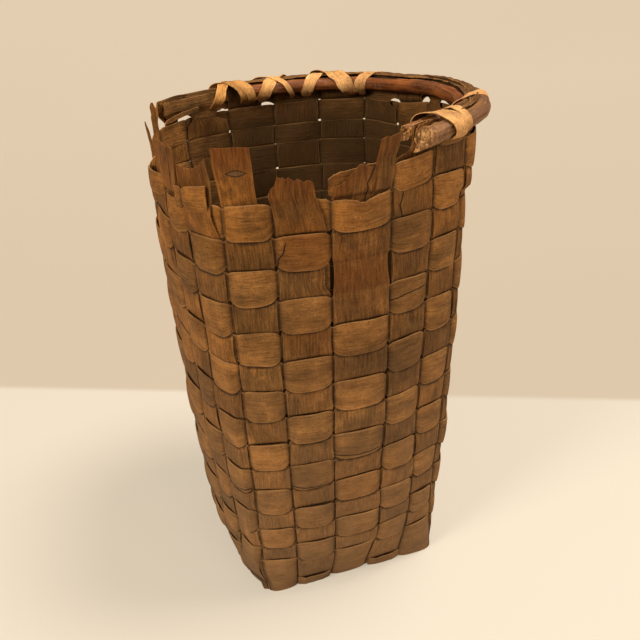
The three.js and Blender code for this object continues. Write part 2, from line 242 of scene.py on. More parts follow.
# The top of each broken upright, as places across it from -1 to 1 and heights in rows
BROKEN_TOPS = {
    0: [(-1, 16.76), (-0.9, 16.78), (1, 16.76)],
    1: [(-1, 15.35), (-0.9, 15.52), (-0.72, 15.66), (-0.7, 15.9), (-0.5, 15.84), (-0.22, 15.8),
        (-0.05, 15.87), (0.03, 15.72), (0.28, 15.78), (0.5, 15.68), (0.72, 15.72), (0.9, 15.64),
        (0.97, 15.5), (1, 15.2)],
    2: [(-1, 15.1), (-0.86, 15.38), (-0.55, 15.56), (-0.36, 15.8), (-0.2, 16.0), (-0.08, 16.03),
        (0.06, 15.97), (0.2, 15.86), (0.335, 15.86), (0.41, 16.86), (0.98, 16.9), (1, 16.8)],
    3: [(-1, 15.9), (-0.6, 16.0), (-0.35, 16.1), (-0.2, 16.5), (-0.1, 16.9), (0.1, 17), (1, 17)],
    15: [(-1, 15.95), (0, 15.8), (1, 15.6)],
    16: [(-1, 15.5), (0, 15.4), (1, 15.5)],
    17: [(-1, 15.4), (-0.4, 15.5), (0.1, 15.3), (0.6, 15.5), (1, 15.3)],
    18: [(-1, 16.5), (-0.8, 16.6), (-0.3, 16.62), (0.4, 16.5), (1, 16.53)],
    19: [(-1, 16.0), (-0.3, 16.0), (0.2, 16.05), (0.6, 16.25), (1, 16.45)],
}
# Where an upright's sides leave their column near a broken top: height in rows, left and right side
STRAYING = {
    0: [(14.2, -1, 1), (14.9, -1.1, 0.62), (15.1, -1.12, 0.42), (16.8, -1.4, 0.24)],
    1: [(12.1, -1, 1), (12.4, -1, 0.77), (13.3, -1, 0.75), (13.6, -1, 1), (14.4, -1, 0.8),
        (14.86, -1.1, 0.62), (15.3, -1.25, 0.54), (15.9, -1.1, 0.45)],
    2: [(12.1, -1, 1), (12.4, -1, 0.95), (13.3, -1, 0.92), (13.6, -1, 1), (14.9, -1, 1), (16.0, -1, 1.12),
        (17, -1, 1.3)],
    14: [(15.6, -1, 1), (15.85, -0.6, 0.1), (16.3, -0.6, 0.1), (16.8, -1, 0.6)],
    18: [(14.0, -1, 1), (14.6, -1.5, 0.5), (15.1, -2.2, 0.41), (17, -2.6, 0.41)],
    19: [(14.0, -1, 1), (14.8, -1.8, 0.6), (15.7, -1.9, 0.7), (16.4, -1.9, 0.5)],
}
# An upright is thin where a small hole shows under the rim's weaver: its left and right side there
THINNED = {7: (0.1, 1), 8: (-0.5, 1), 9: (-0.5, 1), 12: (-0.5, 1), 13: (-0.4, 0.72)}
for column, sides in THINNED.items():
    STRAYING[column] = [(15.75, -1, 1), (15.95, *sides), (16.3, *sides), (16.5, -1, 1)]
# Cracks of an upright, drawn only as a line of painted shade, each a line of places across and heights in
# rows
CRACKS = {
    2: [[(0.40, 15.86), (0.37, 15.8), (0.13, 15.36), (0.17, 15.2), (0.05, 14.6)]],
    3: [[(-0.62, 15.0), (-0.65, 14.79), (-0.81, 14.46), (-0.49, 13.79)]],
    18: [[(-0.12, 16.55), (-0.06, 15.7), (-0.1, 14.8)]],
}
CRACK_REACH = 0.0025
SCAR_COLUMN, SCAR_U, SCAR_HEIGHT, SCAR_HALF = 0, 0.50, 0.5145, (0.0098, 0.0030)  # shaped like an eye
FAR = 9.0

STEP_ALONG, ACROSS_STAKE = 0.0025, 25  # how finely a stake is made along it and across it
STAKE_CROWN, CROWN_RANGE, CROWN_TILT = 0.0013, (0.6, 1.4), 0.4
CROSSING_RUN, BASE_END_RUN = 0.0042, 0.006
EDGE_WOBBLE = 0.0007
STAKE_SPREAD = 0.28  # the share of a gap that an upright fills on each side
TEAR_REACH, TORN_RUN = 0.022, 0.034
TORN_WOBBLE, TORN_WOBBLES = 0.0009, {0: 0.0002}
CUT_BELOW_RIM, CUT_WOBBLE = 0.0022, 0.0005
TORN_TINT, TORN_TINTS = 0.3, {0: 0.95, 1: 0.65, 2: 0.7}
# Redder parts of an upright: height, reach, strength, and the height where they end
STAINED_STAKES = {1: (0.355, 0.026, 0.5, 0.30), 2: (0.402, 0.024, 0.85, 0.386)}
STAIN_EDGE = 0.0015
# Where the painted shadow under a weaver starts on the upright below: how low the weaver hangs over it at
# its sides, how much lower at its middle at the front and at the back, and the length over which that
# painted shadow fades in
HANG_SIDES, HANG_FRONT, HANG_BACK, UNDER_WEAVER_SHADOW_RUN = 0.0008, 0.0040, 0.0014, 0.0019
FOLD_STEPS, FOLD_PULL = 9, 4.5  # a stake's bend, and how hard it is drawn into the base's edge
DOWN = np.array([0, 0, -1.0])


def stake_lift(z, across, column, draw):
    """How far out of the wall's middle an upright lies, the tone of its blocks, and their grime with
    painted shade.
    """
    borders, outside, held = [LOWEST_ROW_START], [], []
    for row in range(1, ROWS + 1):
        there = row_crosses(row, column)
        outside.append((-1 if weaver_outside(row, column) else 1) if there else outside[-1])
        held.append(float(there))
        borders.append((row_top(row) + row_bottom(row + 1)) / 2 if row < ROWS else WALL_HEIGHT + 0.01)
    borders, outside, held = np.array(borders), np.array(outside), np.array(held)
    index, place = blocks(z, borders)
    swell = draw.uniform(*CROWN_RANGE, ROWS)[index] * STAKE_CROWN
    tilt = draw.uniform(-CROWN_TILT, CROWN_TILT, ROWS)[index] * STAKE_CROWN
    bow = (1 - place**2) * (0.55 + 0.45 * (1 - across**2))
    lift = woven(z, borders, outside, CROSSING_RUN) * CROSSING
    lift = lift + np.where(outside[index] > 0, 1, -0.5) * swell * bow + tilt * across * (1 - place**2)
    tones = draw.uniform(0, 1, ROWS)
    for k in range(1, ROWS):
        if 0 in held[k - 1:k + 1]:
            tones[k] = tones[k - 1]
    # Painted shadow under the lower edge of the weaver above, and grime with painted shade at both ends of
    # each block
    half_block = np.diff(borders)[index] / 2
    hang = HANG_FRONT if column <= PER_SIDE or column >= COLUMNS - 3 else HANG_BACK
    hidden = HANG_SIDES + hang * (1 - np.abs(across)**3)
    under = smooth(1 - ((1 - place) * half_block - hidden) / UNDER_WEAVER_SHADOW_RUN) * (outside[index] > 0)
    above = np.append(held[1:], 1)
    crevice = np.where(place > 0, np.maximum(place**9, under) * above[index], np.abs(place)**9)
    return lift, tones[index], crevice * held[index]


def crack_field(lines, u, z):
    """Distance from the nearest crack, with a sign for its two sides, and a mask that ends with it."""
    apart, nearest = np.ones_like(z), np.full_like(z, FAR)
    parts = []
    for line in lines:
        spots = [(place * column_width(height), height) for place, height in line]
        parts += zip(spots, spots[1:])
    for (x0, y0), (x1, y1) in parts:
        run = np.array([x1 - x0, y1 - y0])
        dx, dy = u * column_width(z) - x0, z - y0
        share = np.clip((dx * run[0] + dy * run[1]) / (run @ run), 0, 1)
        distance = np.hypot(dx - share * run[0], dy - share * run[1])
        side = np.sign(run[0] * dy - run[1] * dx)
        apart = np.where(distance < nearest, distance * side, apart)
        nearest = np.minimum(nearest, distance)
    return apart, fade(nearest, 2 * CRACK_REACH, CRACK_REACH)


def splint_part(points, out, knot=FAR, **marks):
    """Rows of points across a splint, with their outward directions and marks. A mark not given is 0."""
    part = {"points": points}
    for key, value in (("out", out), ("knot", knot)):
        part[key] = np.broadcast_to(value, points.shape)
    for key in ("lift", "tone", "crevice", "torn", "width", "apart", "near"):
        part[key] = np.broadcast_to(marks.get(key, 0.0), points.shape[:2])
    return part


def upright(column, seed):
    """One upright, from the fold to its top."""
    draw = np.random.default_rng(seed)
    across = np.linspace(-1, 1, ACROSS_STAKE)
    top_shape = BROKEN_TOPS.get(column)
    if top_shape:
        ends = height_after(np.interp(across, *zip(*top_shape)))
        ends = ends + TORN_WOBBLES.get(column, TORN_WOBBLE) * ripple(seed, across * 9)
    else:
        ends = WALL_HEIGHT - CUT_BELOW_RIM + CUT_WOBBLE * ripple(seed, across * 4)
    bend_start = ends.min() - TEAR_REACH
    steps = int((ends.max() - LOWEST_ROW_START) / STEP_ALONG)
    line = np.linspace(LOWEST_ROW_START, ends.max(), steps)[:, None]
    squeezed = bend_start + (line - bend_start) * (ends - bend_start) / (ends.max() - bend_start)
    z = np.where(line > bend_start, squeezed, line)
    rows_up = np.interp(z, ROW_STEPS, np.arange(ROWS + 1))
    heights, lefts, rights = zip(*STRAYING.get(column, [(0, -1, 1)]))
    half = column_width(z) / 2
    spread = STAKE_SPREAD * mix(GAP_AT_BASE, GAP_AT_RIM, z / WALL_HEIGHT) / half
    left = np.interp(rows_up, heights, lefts) - spread + EDGE_WOBBLE / half * ripple(seed + 1, z * 22)
    right = np.interp(rows_up, heights, rights) + spread + EDGE_WOBBLE / half * ripple(seed + 2, z * 22)
    u = column_place(column, mix(left, right, (across + 1) / 2), z)
    lift, tone, crevice = stake_lift(z, across, column, draw)
    torn = fade(ends - z, TORN_RUN, 0) * TORN_TINTS.get(column, TORN_TINT) if top_shape else 0 * z
    if column in STAINED_STAKES:
        height, reach, strength, end = STAINED_STAKES[column]
        torn = np.maximum(torn, strength * hump(z, height, reach) * fade(z, end, end + STAIN_EDGE))
    cracks = [[(column_place(column, place, height_after(rows)), height_after(rows))
               for place, rows in crack] for crack in CRACKS.get(column, [])]
    apart, near = crack_field(cracks, u, z)
    knot = FAR
    if column == SCAR_COLUMN:
        aside, above = (u - SCAR_U) * column_width(z), z - SCAR_HEIGHT
        knot = np.stack([aside / SCAR_HALF[0], above / SCAR_HALF[1], 0 * z], -1)
    return splint_part(wall(u, z), outward(u, z), knot, lift=lift, tone=tone, crevice=crevice, torn=torn,
                       width=across, apart=apart, near=near)


def upright_fold(column, climb):
    """The bend from the base up into an upright, as a curve round the base's edge."""
    across = np.linspace(-1, 1, ACROSS_STAKE)
    first = {key: value[0] for key, value in climb.items()}
    side, step = divmod(column, PER_SIDE)
    run, edge = base_place(step, (across + 1) / 2), np.full(ACROSS_STAKE, -BASE_START)
    x, y = [(run, -edge), (edge, run), (-run, edge), (-edge, -run)][side]
    start = np.stack([x, y, np.full(ACROSS_STAKE, BASE_LEVEL)], -1)
    corner = wall(column_place(column, across, 0), 0)
    corner[:, 2] = BASE_LEVEL
    share = (np.arange(FOLD_STEPS) / FOLD_STEPS)[:, None, None]
    weights = (1 - share)**2, 2 * FOLD_PULL * share * (1 - share), share**2
    points = (start * weights[0] + corner * weights[1] + first["points"] * weights[2]) / sum(weights)
    out = unit(DOWN * (1 - share) + first["out"] * share)
    # The fold carries a little grime with painted shade all over
    return splint_part(points, out, lift=first["lift"] * smooth(share[..., 0]), tone=first["tone"],
                       crevice=0.3, width=across)


def base_run(way, index, draw):
    """A stake's flat run across the base, over and under the stakes of the other way."""
    across = np.linspace(-1, 1, ACROSS_STAKE)
    steps = int(-2 * BASE_START / STEP_ALONG)
    along = np.linspace(BASE_START, -BASE_START, steps)[1:-1, None] + 0 * across
    aside = base_place(index, (across + 1) / 2) + 0 * along
    borders = BASE_START - GAP_AT_BASE / 2 + BASE_CELL * np.arange(PER_SIDE + 1)
    sides = np.array([-1 if (index + cell + way) % 2 else 1 for cell in range(PER_SIDE)])
    ends = fade(np.abs(along), -BASE_START, -BASE_START - BASE_END_RUN)
    cell, place = blocks(along, borders)
    x, y = (aside, along) if way == 0 else (along, aside)
    # The crevice mark gives grime with painted shade at each block's ends
    return splint_part(np.stack([x, y, np.full_like(x, BASE_LEVEL)], -1), DOWN,
                       lift=woven(along, borders, sides, GAP_AT_BASE) * CROSSING * ends,
                       tone=draw.uniform(0, 1, PER_SIDE)[cell], crevice=np.abs(place)**12, width=across)


def join_parts(parts):
    return {key: np.concatenate([part[key] for part in parts]) for key in parts[0]}


def turned(part, along, across):
    """A part read backwards along it or across it, where that is -1."""
    return {key: value[::along, ::across] for key, value in part.items()}


def gone_along(points):
    """How far along a line each of its points lies."""
    return np.concatenate([[0], np.cumsum(np.linalg.norm(np.diff(points, axis=0), axis=1))])


def quads(grid):
    """The faces between the rows of a grid of point numbers."""
    return np.stack([grid[:-1, :-1], grid[:-1, 1:], grid[1:, 1:], grid[1:, :-1]], -1).reshape(-1, 4)


def mark(mesh, key, values):
    """Keeps a number or a vector at each point of a mesh."""
    kind, field = ("FLOAT_VECTOR", "vector") if values.ndim == 3 else ("FLOAT", "value")
    mesh.attributes.new(key, kind, "POINT").data.foreach_set(field, values.reshape(-1))


def put(name, data):
    thing = bpy.data.objects.new(name, data)
    bpy.context.scene.collection.objects.link(thing)
    return thing


def splint_surface(name, part, seed, closed=False):
    """A mesh of a splint's middle surface, with what the weave tree and the finish read from it."""
    points = part["points"]
    length, count = points.shape[:2]
    grid = np.arange(length * count).reshape(length, count)
    faces = quads(np.concatenate([grid, grid[:1]]) if closed else grid)
    spots = points.reshape(-1, 3)
    a, b, d = (spots[faces[:, k]] for k in (0, 1, 3))
    if (np.cross(b - a, d - a) * part["out"].reshape(-1, 3)[faces[:, 0]]).sum() < 0:
        faces = faces[:, ::-1]
    mesh = bpy.data.meshes.new(name)
    mesh.from_pydata(spots.tolist(), [], faces.tolist())
    along, aside = gone_along(points[:, count // 2])[:, None], gone_along(points[length // 2])
    mark(mesh, "grain", np.stack(np.broadcast_arrays(along, aside, seed * 0.37), -1))
    for key, values in part.items():
        if key != "points":
            mark(mesh, key, values)
    mesh.update()
    return put(name, mesh)


class Tree:
    """Short calls for building a node tree."""

    def __init__(self, tree):
        self.tree = tree

    def feed(self, node, key, value):
        if isinstance(value, bpy.types.Node):
            value = value.outputs[0]
        if isinstance(value, bpy.types.NodeSocket):
            self.tree.links.new(value, node.inputs[key])
        else:
            node.inputs[key].default_value = value

    def add(self, kind, settings=None, **inputs):
        node = self.tree.nodes.new(kind)
        for key, value in (settings or {}).items():
            setattr(node, key, value)
        for key, value in inputs.items():
            self.feed(node, key.replace("_", " "), value)
        return node

    def math(self, operation, *values):
        node = self.add("ShaderNodeMath", {"operation": operation})
        for place, value in enumerate(values):
            self.feed(node, place, value)
        return node.outputs[0]

    def product(self, first, *others):
        for other in others:
            first = self.math("MULTIPLY", first, other)
        return first

    def vector(self, operation, *values):
        node = self.add("ShaderNodeVectorMath", {"operation": operation})
        for place, value in zip((0, "Scale" if operation == "SCALE" else 1), values):
            self.feed(node, place, value)
        return node.outputs["Value" if operation == "DOT_PRODUCT" else "Vector"]

    def noise(self, place, scale, detail, roughness=0.5):
        node = self.add("ShaderNodeTexNoise", Vector=place, Scale=scale, Detail=detail,
                        Roughness=roughness)
        return node.outputs[0]

    def ramp(self, value, low, high, to_low=0.0, to_high=1.0):
        """A value between low and high, as a share or between two other values."""
        node = self.add("ShaderNodeMapRange", Value=value, From_Min=low, From_Max=high, To_Min=to_low,
                        To_Max=to_high)
        return node.outputs[0]

    def between(self, share, low, high):
        return self.math("ADD", self.product(share, high - low), low)

    def attribute(self, key, kind="Fac"):
        return self.add("ShaderNodeAttribute", {"attribute_name": key}).outputs[kind]

    def blend(self, share, a, b, how="MIX"):
        """A colour mixed from a to b by a share."""
        node = self.add("ShaderNodeMix", {"data_type": "RGBA", "blend_type": how})
        for key, value in ((0, share), (6, a), (7, b)):
            self.feed(node, key, value)
        return node.outputs[2]


def start_group(name, kind, inputs, outputs):
    """A node group with named sockets, each given with what it carries."""
    tree = bpy.data.node_groups.new(name, kind)
    for way, sockets in (("INPUT", inputs), ("OUTPUT", outputs)):
        for socket, carries in sockets.items():
            tree.interface.new_socket(socket, in_out=way, socket_type="NodeSocket" + carries)
    return Tree(tree), tree.nodes.new("NodeGroupInput").outputs


RELIEF_STRETCH = (22.0, 90.0, 1.0)
MERGE_REACH = 0.00001


def build_weave_tree():
    """Lifts a splint's middle surface in and out of the wall, and gives it rough relief and thickness."""
    t, given = start_group("splint thickness", "GeometryNodeTree", {
        "Surface": "Geometry", "Thickness": "Float", "Relief": "Float", "Edge thinning": "Float",
        "Finish": "Material"}, {"Splint": "Geometry"})
    named = {}
    for key in ("out", "lift", "grain", "width"):
        kind = {"data_type": "FLOAT_VECTOR" if key in ("out", "grain") else "FLOAT"}
        named[key] = t.add("GeometryNodeInputNamedAttribute", kind, Name=key).outputs["Attribute"]
    lumps = t.noise(t.vector("MULTIPLY", named["grain"], RELIEF_STRETCH), 1.0, 3.0)
    relief = t.product(t.math("SUBTRACT", lumps, 0.5), given["Relief"])
    near_edge = t.math("POWER", t.math("ABSOLUTE", named["width"]), 8.0)
    thin = t.math("SUBTRACT", 1.0, t.product(near_edge, given["Edge thinning"]))
    thickness = t.product(given["Thickness"], thin)
    inner_lift = t.math("SUBTRACT", t.math("ADD", named["lift"], relief), t.product(thickness, 0.5))
    inner = t.add("GeometryNodeSetPosition", Geometry=given["Surface"],
                  Offset=t.vector("SCALE", named["out"], inner_lift))
    grown = t.add("GeometryNodeExtrudeMesh", {"mode": "FACES"}, Mesh=inner, Offset_Scale=0.0,
                  Individual=False)
    outer = t.add("GeometryNodeSetPosition", Geometry=grown.outputs["Mesh"],
                  Selection=grown.outputs["Top"], Offset=t.vector("SCALE", named["out"], thickness))
    flat_sides = t.add("GeometryNodeSetShadeSmooth", Geometry=outer, Selection=grown.outputs["Side"],
                       Shade_Smooth=False)
    back = t.add("GeometryNodeStoreNamedAttribute", {"data_type": "FLOAT", "domain": "FACE"},
                 Geometry=t.add("GeometryNodeFlipFaces", Mesh=inner), Name="inner", Value=1.0)
    both = t.add("GeometryNodeJoinGeometry")
    t.feed(both, 0, back)
    t.feed(both, 0, flat_sides)
    merged = t.add("GeometryNodeMergeByDistance", Geometry=both, Distance=MERGE_REACH)
    whole = t.add("GeometryNodeRealizeInstances", Geometry=merged)
    finished = t.add("GeometryNodeSetMaterial", Geometry=whole, Material=given["Finish"])
    t.add("NodeGroupOutput", Splint=finished)
    return t.tree


WEAVE_TREE = build_weave_tree()


def thicken(piece, finish, thickness=SPLINT, relief=0.0007, edge_thinning=0.35):
    """Runs the weave tree on a splint and keeps the result as its plain mesh."""
    modifier = piece.modifiers.new("weave", "NODES")
    modifier.node_group = WEAVE_TREE
    values = {"Thickness": thickness, "Relief": relief, "Edge thinning": edge_thinning, "Finish": finish}
    for item in WEAVE_TREE.interface.items_tree:
        if item.in_out == "INPUT" and item.name in values:
            modifier[item.identifier] = values[item.name]
    view = bpy.context.evaluated_depsgraph_get()
    mesh = bpy.data.meshes.new_from_object(piece.evaluated_get(view), depsgraph=view)
    piece.modifiers.clear()
    rough = piece.data
    piece.data = mesh
    mesh.name = piece.name
    bpy.data.meshes.remove(rough)


def build_grain_group():
    """Split wood: long fibres and broader streaks along a splint, from its own grain coordinates."""
    t, given = start_group("split wood grain", "ShaderNodeTree",
                           {"Grain": "Vector", "Fibre spacing": "Float"},
                           dict.fromkeys(("Streaks", "Fibres", "Pores", "Height"), "Float"))
    bend = t.add("ShaderNodeTexNoise", Vector=given["Grain"], Scale=14.0, Detail=2.0).outputs["Color"]
    wander = t.vector("SCALE", t.vector("SUBTRACT", bend, (0.5, 0.5, 0.5)), 0.0035)
    bent = t.vector("ADD", given["Grain"], wander)
    per_metre = t.math("DIVIDE", 1.0, given["Fibre spacing"])

    def drawn_out(along, across, layer, detail, low, high, roughness=0.5):
        """Noise with so many changes in a metre along the grain and in a fibre's width across it."""
        stretch = t.add("ShaderNodeCombineXYZ", X=along, Y=t.product(per_metre, across), Z=layer)
        return t.ramp(t.noise(t.vector("MULTIPLY", bent, stretch), 1.0, detail, roughness), low, high)

    fibres = drawn_out(48.0, 1.0, 3.1, 5.0, 0.30, 0.70, 0.62)
    streaks = drawn_out(12.0, 0.11, 5.3, 3.0, 0.32, 0.68)
    pores = drawn_out(120.0, 1.5, 1.7, 1.0, 0.60, 0.72)
    height = t.math("SUBTRACT", t.math("ADD", fibres, t.product(streaks, 0.5)), t.product(pores, 0.6))
    t.add("NodeGroupOutput", Streaks=streaks, Fibres=fibres, Pores=pores, Height=height)
    return t.tree


def build_age_group():
    """Age: brown blotches, grime with painted shade in the crevices of the weave, and greyer dust towards
    the floor.
    """
    t, given = start_group("age and grime", "ShaderNodeTree",
                           {"Position": "Vector", "Crevice": "Float", "Dust height": "Float"},
                           dict.fromkeys(("Blotches", "Mottle", "Fleck", "Grime", "Dust", "Speckle"),
                                         "Float"))

    def patches(scale, detail, roughness, low, high):
        return t.ramp(t.noise(given["Position"], scale, detail, roughness), low, high)

    breakup = t.math("ADD", t.noise(given["Position"], 160.0, 3.0), 0.45)
    height = t.add("ShaderNodeSeparateXYZ", Vector=given["Position"]).outputs["Z"]
    t.add("NodeGroupOutput", Blotches=patches(17.0, 4.0, 0.6, 0.35, 0.65),
          Mottle=patches(62.0, 4.0, 0.65, 0.34, 0.66), Fleck=patches(640.0, 2.0, 0.7, 0.32, 0.68),
          Grime=t.ramp(t.product(given["Crevice"], breakup), 0.1, 0.9),
          Dust=t.ramp(height, given["Dust height"], 0.0), Speckle=patches(420.0, 2.0, 0.5, 0.62, 0.75))
    return t.tree


GRAIN_GROUP = build_grain_group()
AGE_GROUP = build_age_group()

OLIVE, GOLDEN, RUBBED = (0.105, 0.052, 0.012, 1), (0.260, 0.094, 0.015, 1), (0.400, 0.170, 0.040, 1)
TORN_DARK, TORN_LIGHT = (0.064, 0.0165, 0.002, 1), (0.175, 0.054, 0.007, 1)
# The grime colour darkens the weave's crevices, where it is grime and painted shade
DUST, GRIME_AND_SHADE, SPECKS = (0.235, 0.138, 0.066, 1), (0.024, 0.010, 0.003, 1), (0.04, 0.018, 0.007, 1)
# The edge colour is paler wear along a splint's edges, and also a painted highlight there
WORN_EDGE_AND_HIGHLIGHT, WARM_TINT = (0.42, 0.21, 0.075, 1), (1.0, 0.90, 0.66, 1)
# The crack colour is painted shade along a crack's line
CRACK_SHADE = (0.014, 0.006, 0.002, 1)
SCAR_CORE, SCAR_RING = (0.105, 0.062, 0.030, 1), (0.024, 0.011, 0.004, 1)
# Painted shade on the inside, darker low down, and a painted shadow right under the rim, but not at its
# left, which the light reaches
INSIDE_PAINTED_SHADE, UNDER_RIM_PAINTED_SHADOW = (0.050, 0.023, 0.005, 1), (0.016, 0.008, 0.002, 1)
INSIDE_DEEP, UNDER_RIM = (0.515, 0.475, 0.36, 0.90), (0.515, 0.528, 0.0, 0.40)
INSIDE_LEFT = (-0.105, -0.01)
WARM_HEIGHT, WARM_LEFT = (0.40, 0.46), (0.05, -0.03)  # the outside's warmer top left


def marked(t, wood):
    """A colour with a painted shade line along a crack and an eye-shaped scar on it."""
    line = t.ramp(t.math("ABSOLUTE", t.attribute("apart")), 0.0010, 0.0005)
    crack = t.product(line, t.ramp(t.attribute("near"), 0.4, 0.8))
    wood = t.blend(t.product(crack, 0.9), wood, CRACK_SHADE)
    spot = t.add("ShaderNodeSeparateXYZ", Vector=t.attribute("knot", "Vector")).outputs
    pointed = t.math("POWER", t.math("ABSOLUTE", spot["X"]), 1.7)
    depth = t.math("ADD", pointed, t.math("ABSOLUTE", spot["Y"]))
    ring = t.ramp(t.math("ABSOLUTE", t.math("SUBTRACT", depth, 0.95)), 0.30, 0.10)
    wood = t.blend(t.product(t.ramp(depth, 1.0, 0.8), 0.6), wood, SCAR_CORE)
    return t.blend(t.product(ring, 0.85), wood, SCAR_RING)


def new_finish(name):
    material = bpy.data.materials.new(name)
    material.use_nodes = True
    return material, Tree(material.node_tree), material.node_tree.nodes["Principled BSDF"]


def splint_finish(name, light, dark, fibre_spacing=0.0015, dust_height=0.34, roughness=0.72,
                  edge_wear_and_highlight=0.8, fibre=(0.34, 0.160, 0.046, 1)):
    """Old split ash: brown grain, grime and painted shade where splints dive under each other, paler worn
    edges that also carry a painted highlight.
    """
    material, t, surface = new_finish(name)
    tone, inner = t.attribute("tone"), t.attribute("inner")
    place = t.add("ShaderNodeTexCoord").outputs["Object"]
    grain = t.add("ShaderNodeGroup", {"node_tree": GRAIN_GROUP}, Grain=t.attribute("grain", "Vector"),
                  Fibre_spacing=fibre_spacing).outputs
    age = t.add("ShaderNodeGroup", {"node_tree": AGE_GROUP}, Position=place,
                Crevice=t.attribute("crevice"), Dust_height=dust_height).outputs
    wood = t.blend(t.between(grain["Streaks"], 0.05, 1.0), dark, light)
    hue = t.math("ADD", t.product(t.noise(place, 11.0, 2.0), 1.6), t.product(tone, 0.35))
    wood = t.blend(t.product(t.ramp(hue, 0.95, 0.62), 0.5), wood, OLIVE)
    wood = t.blend(t.product(t.ramp(hue, 0.98, 1.32), 0.55), wood, GOLDEN)
    wood = t.blend(t.between(grain["Fibres"], 0.0, 0.37), wood, fibre)
    rubbed = t.ramp(t.product(age["Mottle"], age["Blotches"]), 0.55, 1.0)
    wood = t.blend(t.product(rubbed, 0.30), wood, RUBBED)
    # How dark and how light each pattern makes the wood
    shade = t.product(*(t.between(pattern, low, high) for pattern, low, high in (
        (age["Blotches"], 0.70, 1.20), (tone, 0.82, 1.14), (age["Mottle"], 0.78, 1.22),
        (age["Fleck"], 0.80, 1.22), (grain["Pores"], 1.0, 0.74), (grain["Fibres"], 0.84, 1.16))))
    grey = t.add("ShaderNodeCombineColor", Red=shade, Green=shade, Blue=shade)
    wood = t.blend(1.0, wood, grey, "MULTIPLY")
    reddish = t.blend(grain["Fibres"], TORN_DARK, TORN_LIGHT)
    wood = t.blend(t.product(t.attribute("torn"), 0.8), wood, reddish)
    wood = t.blend(t.product(age["Dust"], t.between(age["Mottle"], 0.46, 0.66)), wood, DUST)
    # Grime with painted shade in the crevices of the weave
    wood = t.blend(t.product(age["Grime"], 0.84), wood, GRIME_AND_SHADE)
    # Painted shade inside, deepest low down, and a painted shadow under the rim's hoops
    spot = t.add("ShaderNodeSeparateXYZ", Vector=place).outputs
    under_rim = t.ramp(spot["Z"], *UNDER_RIM)
    inside = t.math("ADD", t.ramp(spot["Z"], *INSIDE_DEEP), under_rim)
    inside = t.product(inner, t.product(inside, t.ramp(spot["X"], *INSIDE_LEFT)))
    wood = t.blend(inside, wood, INSIDE_PAINTED_SHADE)
    wood = t.blend(t.product(under_rim, 1.6, inside), wood, UNDER_RIM_PAINTED_SHADOW)
    outer = t.math("SUBTRACT", 1.0, inner)
    warm = t.product(t.ramp(spot["Z"], *WARM_HEIGHT), t.ramp(spot["X"], *WARM_LEFT), outer)
    wood = t.blend(warm, wood, WARM_TINT, "MULTIPLY")
    # Paler worn edges, partly a painted highlight along them
    worn = t.math("POWER", t.math("ABSOLUTE", t.attribute("width")), 24.0)
    worn = t.product(worn, t.between(age["Blotches"], 0.3 * edge_wear_and_highlight, edge_wear_and_highlight))
    wood = t.blend(worn, wood, WORN_EDGE_AND_HIGHLIGHT)
    wood = t.blend(t.product(age["Speckle"], 0.55), wood, SPECKS)
    t.feed(surface, "Base Color", marked(t, wood))
    t.feed(surface, "Roughness", t.between(grain["Fibres"], roughness + 0.1, roughness - 0.06))
    t.feed(surface, "Specular IOR Level", 0.14)
    bump = t.add("ShaderNodeBump", Strength=0.75, Distance=0.0009, Height=grain["Height"])
    t.feed(surface, "Normal", bump)
    return material


def joined(name, pieces):
    """Several loose splints as one piece."""
    bpy.ops.object.select_all(action="DESELECT")
    for piece in pieces:
        piece.select_set(True)
    bpy.context.view_layer.objects.active = pieces[0]
    if len(pieces) > 1:
        bpy.ops.object.join()
    pieces[0].name = name
    pieces[0].data.name = name
    return pieces[0]


def torn_strip(name, edges, seed, finish, torn=0.5):
    """A loose strip between two edges, each given as places u, z and off, the last out of the wall."""
    across, along = np.linspace(-1, 1, 9), np.linspace(0, 1, 26)
    sides = []
    for edge in edges:
        edge = np.array(edge, float)
        gone = gone_along(wall(edge[:, 0], edge[:, 1]))
        sides.append(np.stack([np.interp(along * gone[-1], gone, edge[:, k]) for k in range(3)], -1))
    u, z, off = np.moveaxis(mix(sides[0][:, None], sides[1][:, None], ((across + 1) / 2)[:, None]), -1, 0)
    points = wall(u, z) + outward(u, z) * off[..., None]
    out = unit(np.cross(np.gradient(points, axis=1), np.gradient(points, axis=0)))
    out = out * (1 if (out * outward(u, z)).sum() > 0 else -1)
    part = splint_part(points, out, lift=0.0003 * ripple(seed, z * 60, u * 3), tone=0.55,
                       torn=torn * fade(along, 0.25, 0)[:, None], width=across)
    piece = splint_surface(name, part, seed)
    thicken(piece, finish, thickness=0.0012, relief=0.0005)
    return piece


STAKE_WOOD = splint_finish("brown ash stakes", (0.168, 0.062, 0.011, 1), (0.078, 0.028, 0.005, 1), 0.0016,
                           edge_wear_and_highlight=0.25)

# Slivers that a torn upright ends in, by column: two edges each, from the tip down
SLIVERS = {17: [
    ([(16.96, 0.544, 0.0074), (16.94, 0.534, 0.007), (16.96, 0.5135, 0.0044), (17, 0.485, -0.0014)],
     [(16.97, 0.5435, 0.0066), (16.98, 0.533, 0.0042), (16.99, 0.5135, 0.0012), (17.03, 0.485, -0.0044)]),
    ([(17.34, 0.563, -0.0026), (17.3, 0.559, -0.0006), (17.3, 0.53, -0.0012), (17.34, 0.49, 0.001)],
     [(17.36, 0.563, -0.0044), (17.38, 0.558, -0.0054), (17.4, 0.53, -0.006), (17.44, 0.49, -0.005)]),
]}


